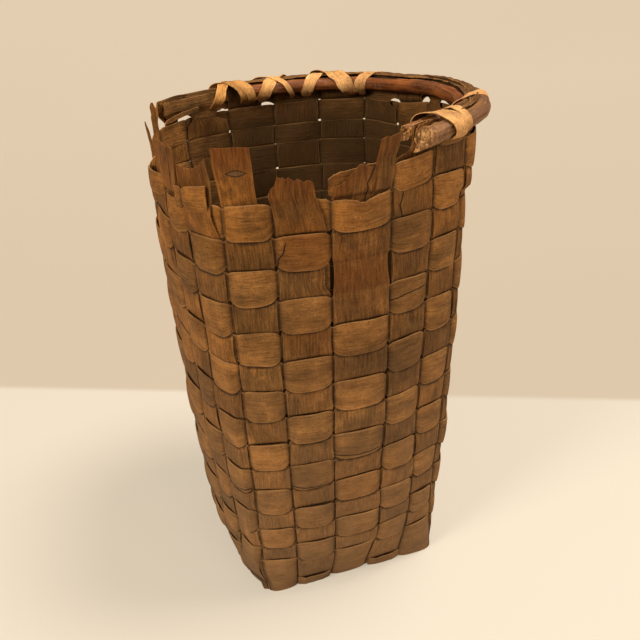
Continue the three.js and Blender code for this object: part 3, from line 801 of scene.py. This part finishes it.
def make_stake(way, index):
    near = index if way == 0 else 4 * PER_SIDE - 1 - index
    far = 3 * PER_SIDE - 1 - index if way == 0 else PER_SIDE + index
    seed = 100 + way * 10 + index
    sides = []
    for place, column in enumerate((near, far)):
        climb = upright(column, seed * 7 + place)
        sides.append(join_parts([upright_fold(column, climb), climb]))
    across = (1, -1) if way == 0 else (-1, 1)
    base = base_run(way, index, np.random.default_rng(seed))
    path = join_parts([turned(sides[0], -1, across[0]), base, turned(sides[1], 1, across[1])])
    name = ("stake_front_to_back_" if way == 0 else "stake_side_to_side_") + str(index + 1)
    piece = splint_surface("ash_" + name, path, seed)
    thicken(piece, STAKE_WOOD)
    slivers = [torn_strip(f"sliver_{k}", edges, seed + 40 + k, STAKE_WOOD)
               for k, edges in enumerate(SLIVERS.get(near, []))]
    piece = joined("ash_" + name, [piece] + slivers)
    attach(piece, "root")
    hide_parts(name)


for way in (0, 1):
    for index in range(PER_SIDE):
        make_stake(way, index)

# Weavers
# Seventeen flat splints of the same ash go round the uprights, over one and under the next. Each row
# shifts by one upright, and the two top rows have lost their front.
ACROSS_WEAVER, GAP_STEPS = 13, 4
WEAVER_BULGE, WEAVER_TUCK = 0.0041, 0.0024
ROW_SPREAD = 0.0021  # a weaver is this much wider than its row, on each side of the middle of a block
LOW_CORNER, HIGH_CORNER = 0.0070, 0.0054  # and this much narrower at the ends of a block
TIGHT_BACK = 0.22  # the back's blocks keep their corners better, so only small holes show there
BACK_RIGHT, BACK_LEFT = (5.3, 6.1), (17.4, 16.6)
RIM_ROW_DROP, RIM_ROW_SPREAD, FOOT_ROW_DROP = 0.0066, 0.0003, 0.0124
FRONT_DROP = 0.0024  # an outside block at the front hangs this much lower over the upright below it
ROW_WOBBLE = 0.0006

# Where a broken weaver has slipped: column, how low its lower and upper edge lie, how far it stands out
SLIPPED = {
    15: [(16, 0, 0, 0), (17, 0.0012, 0.002, 0), (18.9, 0.004, 0.003, 0), (19.1, 0, 0, 0), (20, 0, 0, 0)],
    16: [(2, 0, 0, 0), (2.9, 0.002, 0.004, 0), (3.25, 0.003, 0.007, 0), (3.9, 0.001, 0.004, 0),
         (4.4, 0, 0, 0), (16.2, 0, 0, 0), (17, 0.005, 0.009, 0.003), (17.4, 0.007, 0.014, 0.006),
         (18, 0.008, 0.016, 0.004), (18.5, 0.008, 0.018, 0), (18.96, 0.0095, 0.0205, 0),
         (19.04, 0.0095, 0.0205, 0.0055), (19.35, 0.008, 0.017, 0.0035), (19.7, 0.006, 0.0135, 0),
         (20, 0.004, 0.0105, 0)],
}
# Small holes left under the rim's weaver: place as u, half width as u, and height
HOLES = {
    14: [(12.17, 0.10, 0.0018)],
    16: [(9.03, 0.10, 0.0034), (10.08, 0.10, 0.0020), (11.13, 0.10, 0.0032), (13.22, 0.14, 0.0034)],
    17: [(7.24, 0.36, 0.0048), (8.10, 0.22, 0.0060), (9.15, 0.18, 0.0044), (12.32, 0.17, 0.0040),
         (13.38, 0.18, 0.0042), (14.32, 0.24, 0.0060), (15.3, 0.5, 0.016)],
}
# A broken row starts and ends at a share of the gap beside its columns, or where its splint was cut
START_SHARE, START_SHARES, END_SHARE = 0.75, {16: 0.28}, 0.25
START_U, END_U = {17: 3.6}, {16: 19.98}
# Splits of a weaver, drawn only as a line of painted shade, each a line of places as u and height
WEAVER_CRACKS = {
    6: [[(1.05, 0.1605), (1.36, 0.1560), (1.64, 0.1552), (2.05, 0.1562)],
        [(19.20, 0.1562), (19.78, 0.1560), (20.20, 0.1600)]],
    7: [[(2.06, 0.1925), (2.58, 0.1888), (3.05, 0.1900)]],
    12: [[(3.14, 0.3668), (3.54, 0.3705), (4.00, 0.3725)]],
    14: [[(1.24, 0.4450), (1.21, 0.4370), (1.10, 0.4290), (1.12, 0.4270), (1.06, 0.4190)]],
}
STAINED = {14: (1.06, 1.24, 2.05)}  # a redder block: its lower and upper start, and its end
# Where a weaver is doubled by its own end or by a patch, as two edges each
LAPS = {
    1: [([(k + 0.06, 0.014, 0.0012), (k + 0.25, 0.0136, 0.004), (k + 0.75, 0.0134, 0.004),
          (k + 0.97, 0.0132, 0.0012)],
         [(k + 0.06, 0.0012, 0.0016), (k + 0.25, 0.001, 0.0042), (k + 0.75, 0.001, 0.0042),
          (k + 0.97, 0.0012, 0.0016)]) for k in (1.0, 3.02, 18.0)],
    17: [
        ([(15.02, 0.5425, -0.004), (14.5, 0.5415, -0.0042), (13.9, 0.541, -0.0046), (13.2, 0.542, -0.004)],
         [(15.05, 0.5285, -0.0036), (14.5, 0.529, -0.0044), (13.9, 0.5285, -0.005),
          (13.2, 0.529, -0.0042)]),
        ([(15.12, 0.5205, -0.005), (14.9, 0.524, -0.0056), (14.4, 0.5275, -0.006),
          (13.98, 0.529, -0.0056)],
         [(15.1, 0.5195, -0.005), (14.85, 0.519, -0.0056), (14.4, 0.522, -0.006),
          (13.98, 0.5235, -0.0056)]),
    ],
}
# Where a weaver's upper edge is torn: places as u, and how far the tear reaches down
TORN_EDGES = {
    15: [(1.86, 0.0), (1.9, 0.001), (2.1, 0.0012), (2.5, 0.0052), (2.56, 0.0082), (2.68, 0.0086),
         (2.74, 0.006), (2.84, 0.0052), (3.0, 0.0026), (3.18, 0.0010), (3.24, 0.0)],
    16: [(1.9, 0.0088), (2.06, 0.0088), (2.48, 0.0058), (2.7, 0.003), (3.0, 0.0)],
}


def weaver(row, seed):
    """A weaver, going round from its first column."""
    draw = np.random.default_rng(seed)
    first, last = BROKEN_ROWS.get(row, (0, COLUMNS - 1))
    closed = row not in BROKEN_ROWS
    across = np.linspace(-1, 1, ACROSS_WEAVER)
    low, high = row_bottom(row), row_top(row)
    z = mix(low, high, (across + 1) / 2)
    ranges = ((0.75, 1.25), (0.14, 0.40), (-0.0006, 0.0006), (0, 1), (0.55, 1.25), (0.55, 1.25))
    bulge, cup, lean, tone, round_left, round_right = (
        draw.uniform(*ends, 2 * COLUMNS + 2) for ends in ranges)

    # Each row of points: its column, whether it is in the gap after it, and the share along that
    stations = [] if closed else [(first - 1, 1, START_SHARES.get(row, START_SHARE))]
    middle = (low + high) / 2
    for column in range(first, last + 1):
        width = (column_edge(column, 1, middle) - column_edge(column, 0, middle)) * column_width(middle)
        steps = max(int(width / STEP_ALONG), 6)
        stations += [(column, 0, step / (steps - 1)) for step in range(steps)]
        if closed or column < last:
            stations += [(column, 1, step / GAP_STEPS) for step in range(1, GAP_STEPS)]
    if not closed:
        stations.append((last, 1, END_SHARE))
    u, borders = [], []
    for column, gap, share in stations:
        u.append(mix(column_edge(column, gap, z), column_edge(column + gap, 1 - gap, z), share))
        borders.append([mix(column_edge(column + k, 1, z), column_edge(column + k + 1, 0, z), 0.5)
                        for k in (-1, 0, 1)])
    u, borders, column = np.array(u), np.array(borders), np.array(stations)[:, :1].astype(int)
    kept = (u.mean(1) >= START_U.get(row, -FAR)) & (u.mean(1) <= END_U.get(row, 2 * COLUMNS))
    u, borders, column = u[kept], borders[kept], column[kept]

    past = u > borders[:, 1]
    start, end = (np.where(past, borders[:, k + 1], borders[:, k]) for k in (0, 1))
    this = column + past
    place = np.clip((2 * u - start - end) / (end - start), -1, 1)
    outside = weaver_outside(row, this)
    arch = 1 - np.abs(place)**np.where(outside, 3.2, 2.2)
    lift = np.where(outside, WEAVER_BULGE, -WEAVER_TUCK) * bulge[this] * arch
    lift = lift * (1 - cup[this] * across**2) + lean[this] * across * arch
    around = np.mod(u, COLUMNS)
    behind = fade(around, *BACK_RIGHT) * fade(around, *BACK_LEFT)
    rounding = mix(1, TIGHT_BACK, behind) * np.abs(place)**mix(7, 12, behind) * np.where(outside, 1, 0.5)
    rounding = rounding * np.where(place < 0, round_left[this], round_right[this])
    rounding = rounding * (0.3 if row == 1 else 1)
    spots, drops_low, drops_high, stands = zip(*SLIPPED.get(row, [(0, 0, 0, 0)]))
    lift = lift + np.interp(u, spots, stands)
    tear = np.interp(u, *zip(*TORN_EDGES.get(row, [(0, 0)])))
    tear = tear + np.minimum(tear, 0.0012) * ripple(seed + 5, u * 9) * 0.5
    hanging = FRONT_DROP * np.where(outside, arch, 0) * (1 - behind) * (0 if row == 1 else 1)
    low_spread = {1: FOOT_ROW_DROP, ROWS: RIM_ROW_DROP}.get(row, ROW_SPREAD)
    bottom = low - low_spread - hanging - np.interp(u, spots, drops_low) + LOW_CORNER * rounding
    bottom = bottom + ROW_WOBBLE * ripple(seed + 3, u * 0.9)
    for centre, reach, rise in HOLES.get(row, []):
        bottom = bottom + rise * np.maximum(1 - ((u - centre) / reach)**2, 0)
    top = high + (RIM_ROW_SPREAD if row == ROWS else ROW_SPREAD) - np.interp(u, spots, drops_high) - tear
    top = top - HIGH_CORNER * rounding * (0.6 if row == ROWS else 1)
    top = top + ROW_WOBBLE * ripple(seed + 4, u * 0.9)
    z = mix(bottom, top, (across + 1) / 2)
    stain_low, stain_high, stain_end = STAINED.get(row, (2 * COLUMNS,) * 3)
    stained = (u > mix(stain_low, stain_high, (across + 1) / 2)) * (u < stain_end) * 0.55
    torn = np.maximum(np.minimum(tear / 0.006, 1) * fade(across, -0.2, 1) * 0.6, stained)
    apart, near = crack_field(WEAVER_CRACKS.get(row, []), u, z)
    # Grime with painted shade at each block's ends, where the weaver dives under an upright
    return splint_part(wall(u, z), outward(u, z), lift=lift, tone=tone[this],
                       crevice=np.abs(place)**11, torn=torn, width=across, apart=apart, near=near), closed


WEAVER_WOOD = splint_finish("pale ash weavers", (0.305, 0.128, 0.030, 1), (0.125, 0.049, 0.0105, 1))

for row in range(1, ROWS + 1):
    part, closed = weaver(row, 300 + row)
    piece = splint_surface(f"ash_weaver_row_{row:02d}", part, 300 + row, closed)
    thicken(piece, WEAVER_WOOD)
    laps = [torn_strip(f"lap_{k}", edges, 340 + k, WEAVER_WOOD, torn=0)
            for k, edges in enumerate(LAPS.get(row, []))]
    piece = joined(f"ash_weaver_row_{row:02d}", [piece] + laps)
    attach(piece, "root")
    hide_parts(f"weaver_row_{row:02d}")

# Hoops
# Two round sticks with their bark on, one inside the top weaver and one outside it. Both broke off at
# the front right, and their back ends stop where the lashing is gone.
HOOP_HEIGHT = WALL_HEIGHT - 0.009
INNER_RADIUS, INNER_OFFSET, INNER_SPAN = 0.0075, -0.0095, (3.50, 12.88)
OUTER_RADIUS, OUTER_OFFSET, OUTER_SPAN = 0.0085, 0.0105, (3.56, 13.25)
# How each stick broke at the front right: angle round it in degrees and how far the wood reaches there
INNER_BREAK = [(0, 0.001), (50, 0.003), (90, -0.002), (140, 0.004), (200, 0.001), (250, -0.004),
               (290, -0.001), (330, 0.002)]
OUTER_BREAK = [(0, 0.001), (40, 0.003), (80, 0.004), (130, 0.003), (200, 0.001), (250, -0.003),
               (285, -0.008), (320, -0.004)]
RIM_STEP, RIM_EASING = 0.05, 0.30
BACK_DROOP, DROOP_COLUMN, DROOP_REACH = 0.0035, 7.3, 1.0  # the hoops sag at the back right
AROUND_STICK, RINGS_PER_COLUMN, COLUMN_AT_RIM = 28, 15, 0.045
END_CAPS = (0.86, 0.66, 0.4, 0.15)  # the size of a broken end, ring by ring
THICK_END, LUMPY_END = (4.35, 3.6), (5, 3.8)  # the columns over which a broken end swells
PRESSED_COLUMN, PRESSED_REACH = 6.2, 0.8  # where the wall's corner pushes a stick out


def rim_line():
    """The rim's own line, outward and upward directions all round, with its corners eased."""
    u = np.arange(0, COLUMNS, RIM_STEP)
    line = wall(u, HOOP_HEIGHT)
    rise = wall(u, HOOP_HEIGHT + FELT_UP) - wall(u, HOOP_HEIGHT - FELT_UP)
    turns = np.fft.rfftfreq(len(u), RIM_STEP)
    easing = np.exp(-0.5 * (2 * np.pi * turns * RIM_EASING)**2)[:, None]
    line, rise = (np.fft.irfft(np.fft.rfft(value, axis=0) * easing, len(u), axis=0)
                  for value in (line, rise))
    along = np.roll(line, -1, 0) - np.roll(line, 1, 0)
    rise = unit(rise)
    return u, np.concatenate([line, unit(np.cross(along, rise)), rise], 1)


RIM_U, RIM_LINE = rim_line()


def on_rim(u, side, height):
    """A point beside the top weaver: side outwards from the wall, height above the hoops' centre line."""
    around = np.mod(np.asarray(u, float), COLUMNS)
    place = np.stack([np.interp(around, RIM_U, RIM_LINE[:, k], period=COLUMNS) for k in range(9)], -1)
    height = np.asarray(height) - BACK_DROOP * hump(around, DROOP_COLUMN, DROOP_REACH)
    side, height = np.asarray(side)[..., None], height[..., None]
    return place[..., :3] + place[..., 3:6] * side + place[..., 6:] * height


def stick(name, span, radius, offset, seed, break_shape, corner_press=0.0, thickening=0.0):
    """A round stick along the rim with splintered ends, as one closed mesh."""
    draw = np.random.default_rng(seed)
    angle = np.linspace(0, 2 * np.pi, AROUND_STICK, endpoint=False)
    u = np.linspace(*span, int((span[1] - span[0]) * RINGS_PER_COLUMN))
    jag = np.interp(np.degrees(angle), *zip(*break_shape), period=360)
    jag = jag + draw.uniform(-0.0011, 0.0011, AROUND_STICK)
    rings, marks = [], []

    def ring(place, size, torn, push):
        size = size * (1 + 0.05 * ripple(seed, place * 1.1)
                       + 0.035 * ripple(seed + 1, place * 2.0 + np.cos(angle), np.sin(angle)))
        place = place + push / COLUMN_AT_RIM
        thicker = thickening * fade(place, *THICK_END)
        lumps = ripple(seed + 2, place * 5 + np.cos(angle) * 1.5, np.sin(angle) * 1.5)
        size = size * (1 + thicker + 0.05 * fade(place, *LUMPY_END) * lumps)
        pressed = corner_press * hump(np.mod(place, COLUMNS), PRESSED_COLUMN, PRESSED_REACH)
        side = offset + pressed + 0.8 * thicker * radius + size * np.cos(angle)
        rings.append(on_rim(place, side, size * np.sin(angle)))
        marks.append(np.full(AROUND_STICK, torn))

    for share in END_CAPS[::-1]:
        ring(u[0], radius * share, 1.0, jag * share + draw.uniform(-0.0018, 0.0018, AROUND_STICK))
    for k, place in enumerate(u):
        near_start, bared = max(0.0, 1 - k / 6), max(0.0, 1 - k / 12)**2
        torn = 0.55 * bared + 0.45 * float(k == 0)
        ring(place, radius * (1 - 0.06 * near_start**2), torn, jag * near_start)
    for share in END_CAPS:
        ring(u[-1], radius * share, 1.0, draw.uniform(-0.001, 0.001, AROUND_STICK))
    index = np.arange(len(rings) * AROUND_STICK).reshape(len(rings), AROUND_STICK)
    faces = quads(np.concatenate([index, index[:, :1]], 1)).tolist()
    faces += [index[0][::-1].tolist(), index[-1].tolist()]
    mesh = bpy.data.meshes.new(name)
    mesh.from_pydata(np.array(rings).reshape(-1, 3).tolist(), [], faces)
    caps = np.ones(len(END_CAPS))
    length = np.concatenate([caps * u[0], u, caps * u[-1]])[:, None] * COLUMN_AT_RIM
    grain = np.broadcast_arrays(length, np.cos(angle) * radius, np.sin(angle) * radius)
    mark(mesh, "grain", np.stack(grain, -1))
    mark(mesh, "torn", np.array(marks))
    mesh.polygons.foreach_set("use_smooth", [True] * len(mesh.polygons))
    mesh.update()
    if mesh_volume(mesh) < 0:
        mesh.flip_normals()
    return put(name, mesh)


def mesh_volume(mesh):
    mesh.calc_loop_triangles()
    corners = np.empty(len(mesh.loop_triangles) * 3, dtype=np.int32)
    mesh.loop_triangles.foreach_get("vertices", corners)
    places = np.empty(len(mesh.vertices) * 3)
    mesh.vertices.foreach_get("co", places)
    a, b, c = places.reshape(-1, 3)[corners.reshape(-1, 3)].transpose(1, 0, 2)
    return (a * np.cross(b, c)).sum() / 6


SCUFFS = (0.36, 0.19, 0.085, 1)
BARK_STREAKS, BARK_PATCHES = (30.0, 420.0, 420.0), (22.0, 90.0, 90.0)
SHRED_STRETCH = (330.0, 330.0, 170.0)


def times(colour, red, green, blue):
    return (colour[0] * red, colour[1] * green, colour[2] * blue, 1)


def bark_finish(name, light, dark, ends):
    """A barked stick: streaks along it, darker knots and scuffs, and raw wood at its broken ends."""
    material, t, surface = new_finish(name)
    grain, torn = t.attribute("grain", "Vector"), t.attribute("torn")
    place = t.add("ShaderNodeTexCoord").outputs["Object"]
    streaks = t.noise(t.vector("MULTIPLY", grain, BARK_STREAKS), 1.0, 5.0, 0.6)
    broad = t.noise(t.vector("MULTIPLY", grain, BARK_PATCHES), 1.0, 3.0)
    streak = t.ramp(streaks, 0.34, 0.66)
    wood = t.blend(streak, dark, light)
    wood = t.blend(t.between(t.ramp(broad, 0.35, 0.62), 0.55, 0.0), wood, times(dark, 0.5, 0.45, 0.4))
    scuffed = t.ramp(t.noise(place, 190.0, 4.0, 0.7), 0.56, 0.70)
    wood = t.blend(t.product(scuffed, 0.45), wood, SCUFFS)
    shreds = t.ramp(t.noise(t.vector("MULTIPLY", place, SHRED_STRETCH), 1.0, 4.0), 0.42, 0.60)
    raw = t.blend(shreds, times(ends, 0.28, 0.22, 0.16), ends)
    t.feed(surface, "Base Color", t.blend(torn, wood, raw))
    t.feed(surface, "Roughness", t.between(streak, 0.68, 0.5))
    t.feed(surface, "Specular IOR Level", 0.25)
    height = t.math("ADD", t.math("ADD", streaks, t.product(broad, 1.5)), t.product(shreds, torn))
    t.feed(surface, "Normal", t.add("ShaderNodeBump", Strength=0.7, Distance=0.0011, Height=height))
    return material


REDDISH_BARK = bark_finish("reddish bark", (0.33, 0.092, 0.015, 1), (0.085, 0.022, 0.004, 1),
                           (0.50, 0.23, 0.060, 1))
GREY_BARK = bark_finish("weathered stick", (0.295, 0.127, 0.040, 1), (0.105, 0.040, 0.012, 1),
                        (0.50, 0.245, 0.078, 1))

inner_hoop = stick("bark_inner_hoop", INNER_SPAN, INNER_RADIUS, INNER_OFFSET, 41, INNER_BREAK,
                   corner_press=0.0035)
inner_hoop.data.materials.append(REDDISH_BARK)
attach(inner_hoop, "root")
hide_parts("inner_hoop")

outer_hoop = stick("bark_outer_hoop", OUTER_SPAN, OUTER_RADIUS, OUTER_OFFSET, 43, OUTER_BREAK,
                   thickening=0.32)
outer_hoop.data.materials.append(GREY_BARK)
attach(outer_hoop, "root")
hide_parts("outer_hoop")

# Filler
# A few thin flat splints of greyer ash lie on the top edge between the hoops. They cover the
# uprights' ends, and the lashing holds them down.
FILLER_THICKNESS, ACROSS_FILLER, FILLER_STEPS = 0.0010, 7, 150
# Each strip: its span, place across the rim, height over the hoops' line, width and tilt
FILLERS = [((4.3, 13.2), -0.0022, 0.0088, 0.0060, -22), ((4.15, 12.9), 0.0028, 0.0096, 0.0054, 10),
           ((4.5, 9.7), 0.0066, 0.0104, 0.0044, 24)]
FILLER_WOOD = splint_finish("grey rim splints", (0.20, 0.085, 0.026, 1), (0.085, 0.034, 0.010, 1), 0.0011)

strips = []
for k, (span, side, height, width, tilt) in enumerate(FILLERS):
    along = np.linspace(*span, FILLER_STEPS)[:, None]
    across = np.linspace(-1, 1, ACROSS_FILLER)
    u = along + 0 * across
    turn = math.radians(tilt)
    side = side + 0.0007 * ripple(60 + k, along * 0.22) + width / 2 * across * math.cos(turn)
    height = height + 0.0005 * ripple(64 + k, along * 0.25) + width / 2 * across * math.sin(turn)
    points = on_rim(u, side, height)
    part = splint_part(points, unit(on_rim(u, side, height + 0.001) - points),
                       lift=0.0004 * ripple(61 + k, u * 3, across), tone=0.5, width=across)
    strip = splint_surface(f"strip_{k}", part, 61 + k)
    thicken(strip, FILLER_WOOD, thickness=FILLER_THICKNESS, relief=0.0002)
    strips.append(strip)
filler = joined("ash_rim_filler", strips)
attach(filler, "root")
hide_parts("rim_filler_strip")

# Lashing
# Pale flat splints wrap the two hoops and the top weaver together. Each passes through the wall
# below the top weaver, climbs over the hoops on a slant and goes back through the next gap.
LASH, LASH_REACH, OVER_HOOPS = 0.0011, 0.0012, 0.0118
LASH_STEPS, ACROSS_LASH, LASH_EASING = 90, 9, 5
LASH_TAPER, LASH_TUCK = 0.014, 0.010
# Where a pass leaves and enters the wall: side and height on the rim
OUTER_FOOT, INNER_FOOT = [(0.000, -0.0175), (0.0065, -0.0135)], [(-0.0065, -0.0130), (0.000, -0.0165)]
OUTER_TURNS, INNER_TURNS = (-65, -30, 5, 40, 75), (105, 140, 175, 210, 245)  # degrees round each hoop
# Each lashing's passes: column outside, column inside, width, and how far it lies over others
PASSES = {
    1: [(4.32, 3.90, 0.015, 0.0022)],
    2: [(4.47, 4.62, 0.011, 0.0)],
    3: [(5.95, 4.95, 0.008, 0.0)],
    4: [(11.27, 10.38, 0.018, 0.0013), (9.73, 10.08, 0.013, 0.0)],
    5: [(10.88, 11.42, 0.013, 0.0)],
    6: [(11.80, 12.45, 0.014, 0.0), (12.60, 11.76, 0.006, 0.0013)],
    7: [(13.26, 12.70, 0.010, 0.0016), (13.42, 12.88, 0.010, 0.0012), (12.95, 13.62, 0.012, 0.0)],
}


def wrap(u_out, u_in, width, raised, seed):
    """One pass over the rim, from the gap outside at u_out to the gap inside at u_in."""
    keys = list(OUTER_FOOT)
    for hoop, offset, radius in ((OUTER_TURNS, OUTER_OFFSET, OUTER_RADIUS),
                                 (INNER_TURNS, INNER_OFFSET, INNER_RADIUS)):
        for turn in np.radians(hoop):
            reach = radius + LASH_REACH + raised
            keys.append((offset + reach * math.cos(turn), reach * math.sin(turn)))
        if hoop == OUTER_TURNS:
            keys.append((0.0, OVER_HOOPS + raised))
    keys = np.array(keys + INNER_FOOT)
    gone = gone_along(keys)
    fine = np.linspace(0, gone[-1], LASH_STEPS)
    line = [np.interp(fine, gone, keys[:, k]) for k in (0, 1)]
    for value in line:
        value[2:-2] = np.convolve(value, np.ones(LASH_EASING) / LASH_EASING, "same")[2:-2]
    side, height = line
    crossing = np.clip((fine - gone[3]) / (gone[12] - gone[3]), 0, 1)
    u = mix(u_out, u_in, mix(crossing, smooth(crossing), 0.5))
    middle = on_rim(u, side, height)
    ahead = unit(np.gradient(middle, axis=0))
    out = unit(middle - on_rim(u, 0 * side, 0 * height - 0.002))
    out = unit(out - ahead * (out * ahead).sum(-1, keepdims=True))
    from_end = np.minimum(fine, fine[-1] - fine)
    half = width / 2 * (0.35 + 0.65 * fade(from_end, 0, LASH_TAPER))
    half = half * (1 + 0.06 * ripple(seed, fine * 60))
    across = np.linspace(-1, 1, ACROSS_LASH)
    points = middle[:, None] + np.cross(ahead, out)[:, None] * (half[:, None] * across)[..., None]
    # Grime with painted shade near each end, where the pass goes into the wall
    tucked = fade(from_end, LASH_TUCK, 0)[:, None]
    return splint_part(points, out[:, None], tone=0.6, crevice=tucked, width=across)


LASH_WOOD = splint_finish("pale lashing splint", (0.80, 0.40, 0.135, 1), (0.54, 0.25, 0.074, 1), 0.0014,
                          dust_height=0.0, roughness=0.55, edge_wear_and_highlight=0.5, fibre=(0.72, 0.40, 0.160, 1))

for number, passes in PASSES.items():
    bands = []
    for k, one_pass in enumerate(passes):
        seed = 700 + 10 * number + k
        band = splint_surface(f"band_{number}_{k}", wrap(*one_pass, seed), seed)
        thicken(band, LASH_WOOD, thickness=LASH, relief=0.0005)
        bands.append(band)
    lashing = joined(f"ash_rim_lashing_{number}", bands)
    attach(lashing, "root")
    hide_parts(f"rim_lashing_{number}")

# Floor and backdrop
# A plain painted sweep, cream in front of a line behind the basket and a little darker beyond it.
# It is one sheet that turns up behind the basket, with no seam.
SWEEP_FRONT, SWEEP_BACK, SWEEP_SIDE, SWEEP_TOP = -4.0, 2.4, 6.0, 5.0
SWEEP_TURN, TURN_STEPS = 0.6, 12
LINE_X, LINE_Y, LINE_AWAY = 0.451, 0.8925, 0.302  # the line's direction and distance from the middle
LINE_START, LINE_END = -0.006, 0.012
FLOOR_CREAM, CREAM_MOTTLE = (0.780, 0.688, 0.547, 1), (0.60, 0.48, 0.34, 1)
WALL_CREAM_LOW, WALL_CREAM = (0.716, 0.570, 0.404, 1), (0.775, 0.622, 0.445, 1)  # near the line, far off
FLOOR_GLOW, WALL_GLOW = 0.50, 0.94  # how much of the colour the camera sees whatever the light


def make_sweep():
    profile = [(SWEEP_FRONT, 0.0), (SWEEP_BACK, 0.0)]
    for step in range(1, TURN_STEPS + 1):
        turn = math.radians(90 * step / TURN_STEPS)
        profile.append((SWEEP_BACK + SWEEP_TURN * math.sin(turn), SWEEP_TURN * (1 - math.cos(turn))))
    profile.append((SWEEP_BACK + SWEEP_TURN, SWEEP_TOP))
    points = [(x, y, z) for y, z in profile for x in (-SWEEP_SIDE, SWEEP_SIDE)]
    faces = [(2 * k, 2 * k + 1, 2 * k + 3, 2 * k + 2) for k in range(len(profile) - 1)]
    mesh = bpy.data.meshes.new("cream_sweep")
    mesh.from_pydata(points, [], faces)
    mesh.polygons.foreach_set("use_smooth", [True] * len(mesh.polygons))
    mesh.update()
    return put("cream_sweep", mesh)


def sweep_finish():
    material, t, surface = new_finish("cream paint")
    place = t.add("ShaderNodeTexCoord").outputs["Object"]
    beyond = t.vector("DOT_PRODUCT", place, (LINE_X, LINE_Y, 0.0))
    share = t.add("ShaderNodeMapRange", {"interpolation_type": "SMOOTHSTEP"}, Value=beyond,
                  From_Min=LINE_AWAY + LINE_START, From_Max=LINE_AWAY + LINE_END).outputs[0]
    colour = t.blend(share, FLOOR_CREAM, t.blend(t.ramp(beyond, 0.6, 2.6), WALL_CREAM_LOW, WALL_CREAM))
    colour = t.blend(t.between(t.noise(place, 2.0, 2.0), 0.0, 0.06), colour, CREAM_MOTTLE)
    seen = t.add("ShaderNodeLightPath").outputs["Is Camera Ray"]
    glow = t.product(t.between(share, FLOOR_GLOW, WALL_GLOW), seen)
    t.feed(surface, "Base Color", t.vector("SCALE", colour, t.math("SUBTRACT", 1.0, glow)))
    t.feed(surface, "Emission Color", colour)
    t.feed(surface, "Emission Strength", glow)
    t.feed(surface, "Roughness", 0.8)
    t.feed(surface, "Specular IOR Level", 0.2)
    return material


sweep = make_sweep()
sweep.data.materials.append(sweep_finish())

# Light
# Soft lamps above and in front, as in a plain room, and an even pale surround.
WARM_WHITE, COOLER_WHITE = (1.0, 0.95, 0.88), (1.0, 0.97, 0.93)
SURROUND_STRENGTH = 0.30
# Each lamp: its place, the height it points at, its size, its power in watts and its colour
LAMPS = {
    "ceiling lamp": ((0.7, -0.2, 2.5), 0.2, 0.8, 46, WARM_WHITE),
    "left lamp": ((-2.0, -1.0, 1.9), 0.25, 1.0, 52, WARM_WHITE),
    "right lamp": ((1.9, -0.7, 1.3), 0.3, 1.0, 12, COOLER_WHITE),
    "front lamp": ((0.4, -2.2, 1.9), 0.25, 1.0, 7, WARM_WHITE),
}

for name, (place, target, size, power, colour) in LAMPS.items():
    light = bpy.data.lights.new(name, "AREA")
    light.shape, light.size, light.energy, light.color = "DISK", size, power, colour
    holder = put(name, light)
    holder.location = place
    aim = Vector((0, 0, target)) - Vector(place)
    holder.rotation_euler = aim.to_track_quat("-Z", "Y").to_euler()

surround = bpy.data.worlds.new("pale surround")
bpy.context.scene.world = surround
surround.use_nodes = True
surround.node_tree.nodes["Background"].inputs["Color"].default_value = (*WARM_WHITE, 1)
surround.node_tree.nodes["Background"].inputs["Strength"].default_value = SURROUND_STRENGTH

# Camera
# Above and in front of the basket, turned a little, at the photograph's angle.
CAMERA_PLACE = (-0.26465, -0.89830, 0.74926)
CAMERA_RIGHT = (0.94272, -0.32866, -0.05719)
CAMERA_UP = (0.19500, 0.40380, 0.89382)
CAMERA_AHEAD = (0.27067, 0.85378, -0.44475)
LENS, SENSOR, NEAREST_SEEN = 50.625, 36, 0.01

camera = put("camera", bpy.data.cameras.new("camera"))
turn = Matrix([[CAMERA_RIGHT[k], CAMERA_UP[k], -CAMERA_AHEAD[k]] for k in range(3)])
camera.matrix_world = Matrix.Translation(CAMERA_PLACE) @ turn.to_4x4()
camera.data.lens = LENS
camera.data.sensor_width = SENSOR
camera.data.clip_start = NEAREST_SEEN
bpy.context.scene.camera = camera
bpy.context.scene.view_settings.view_transform = "Standard"
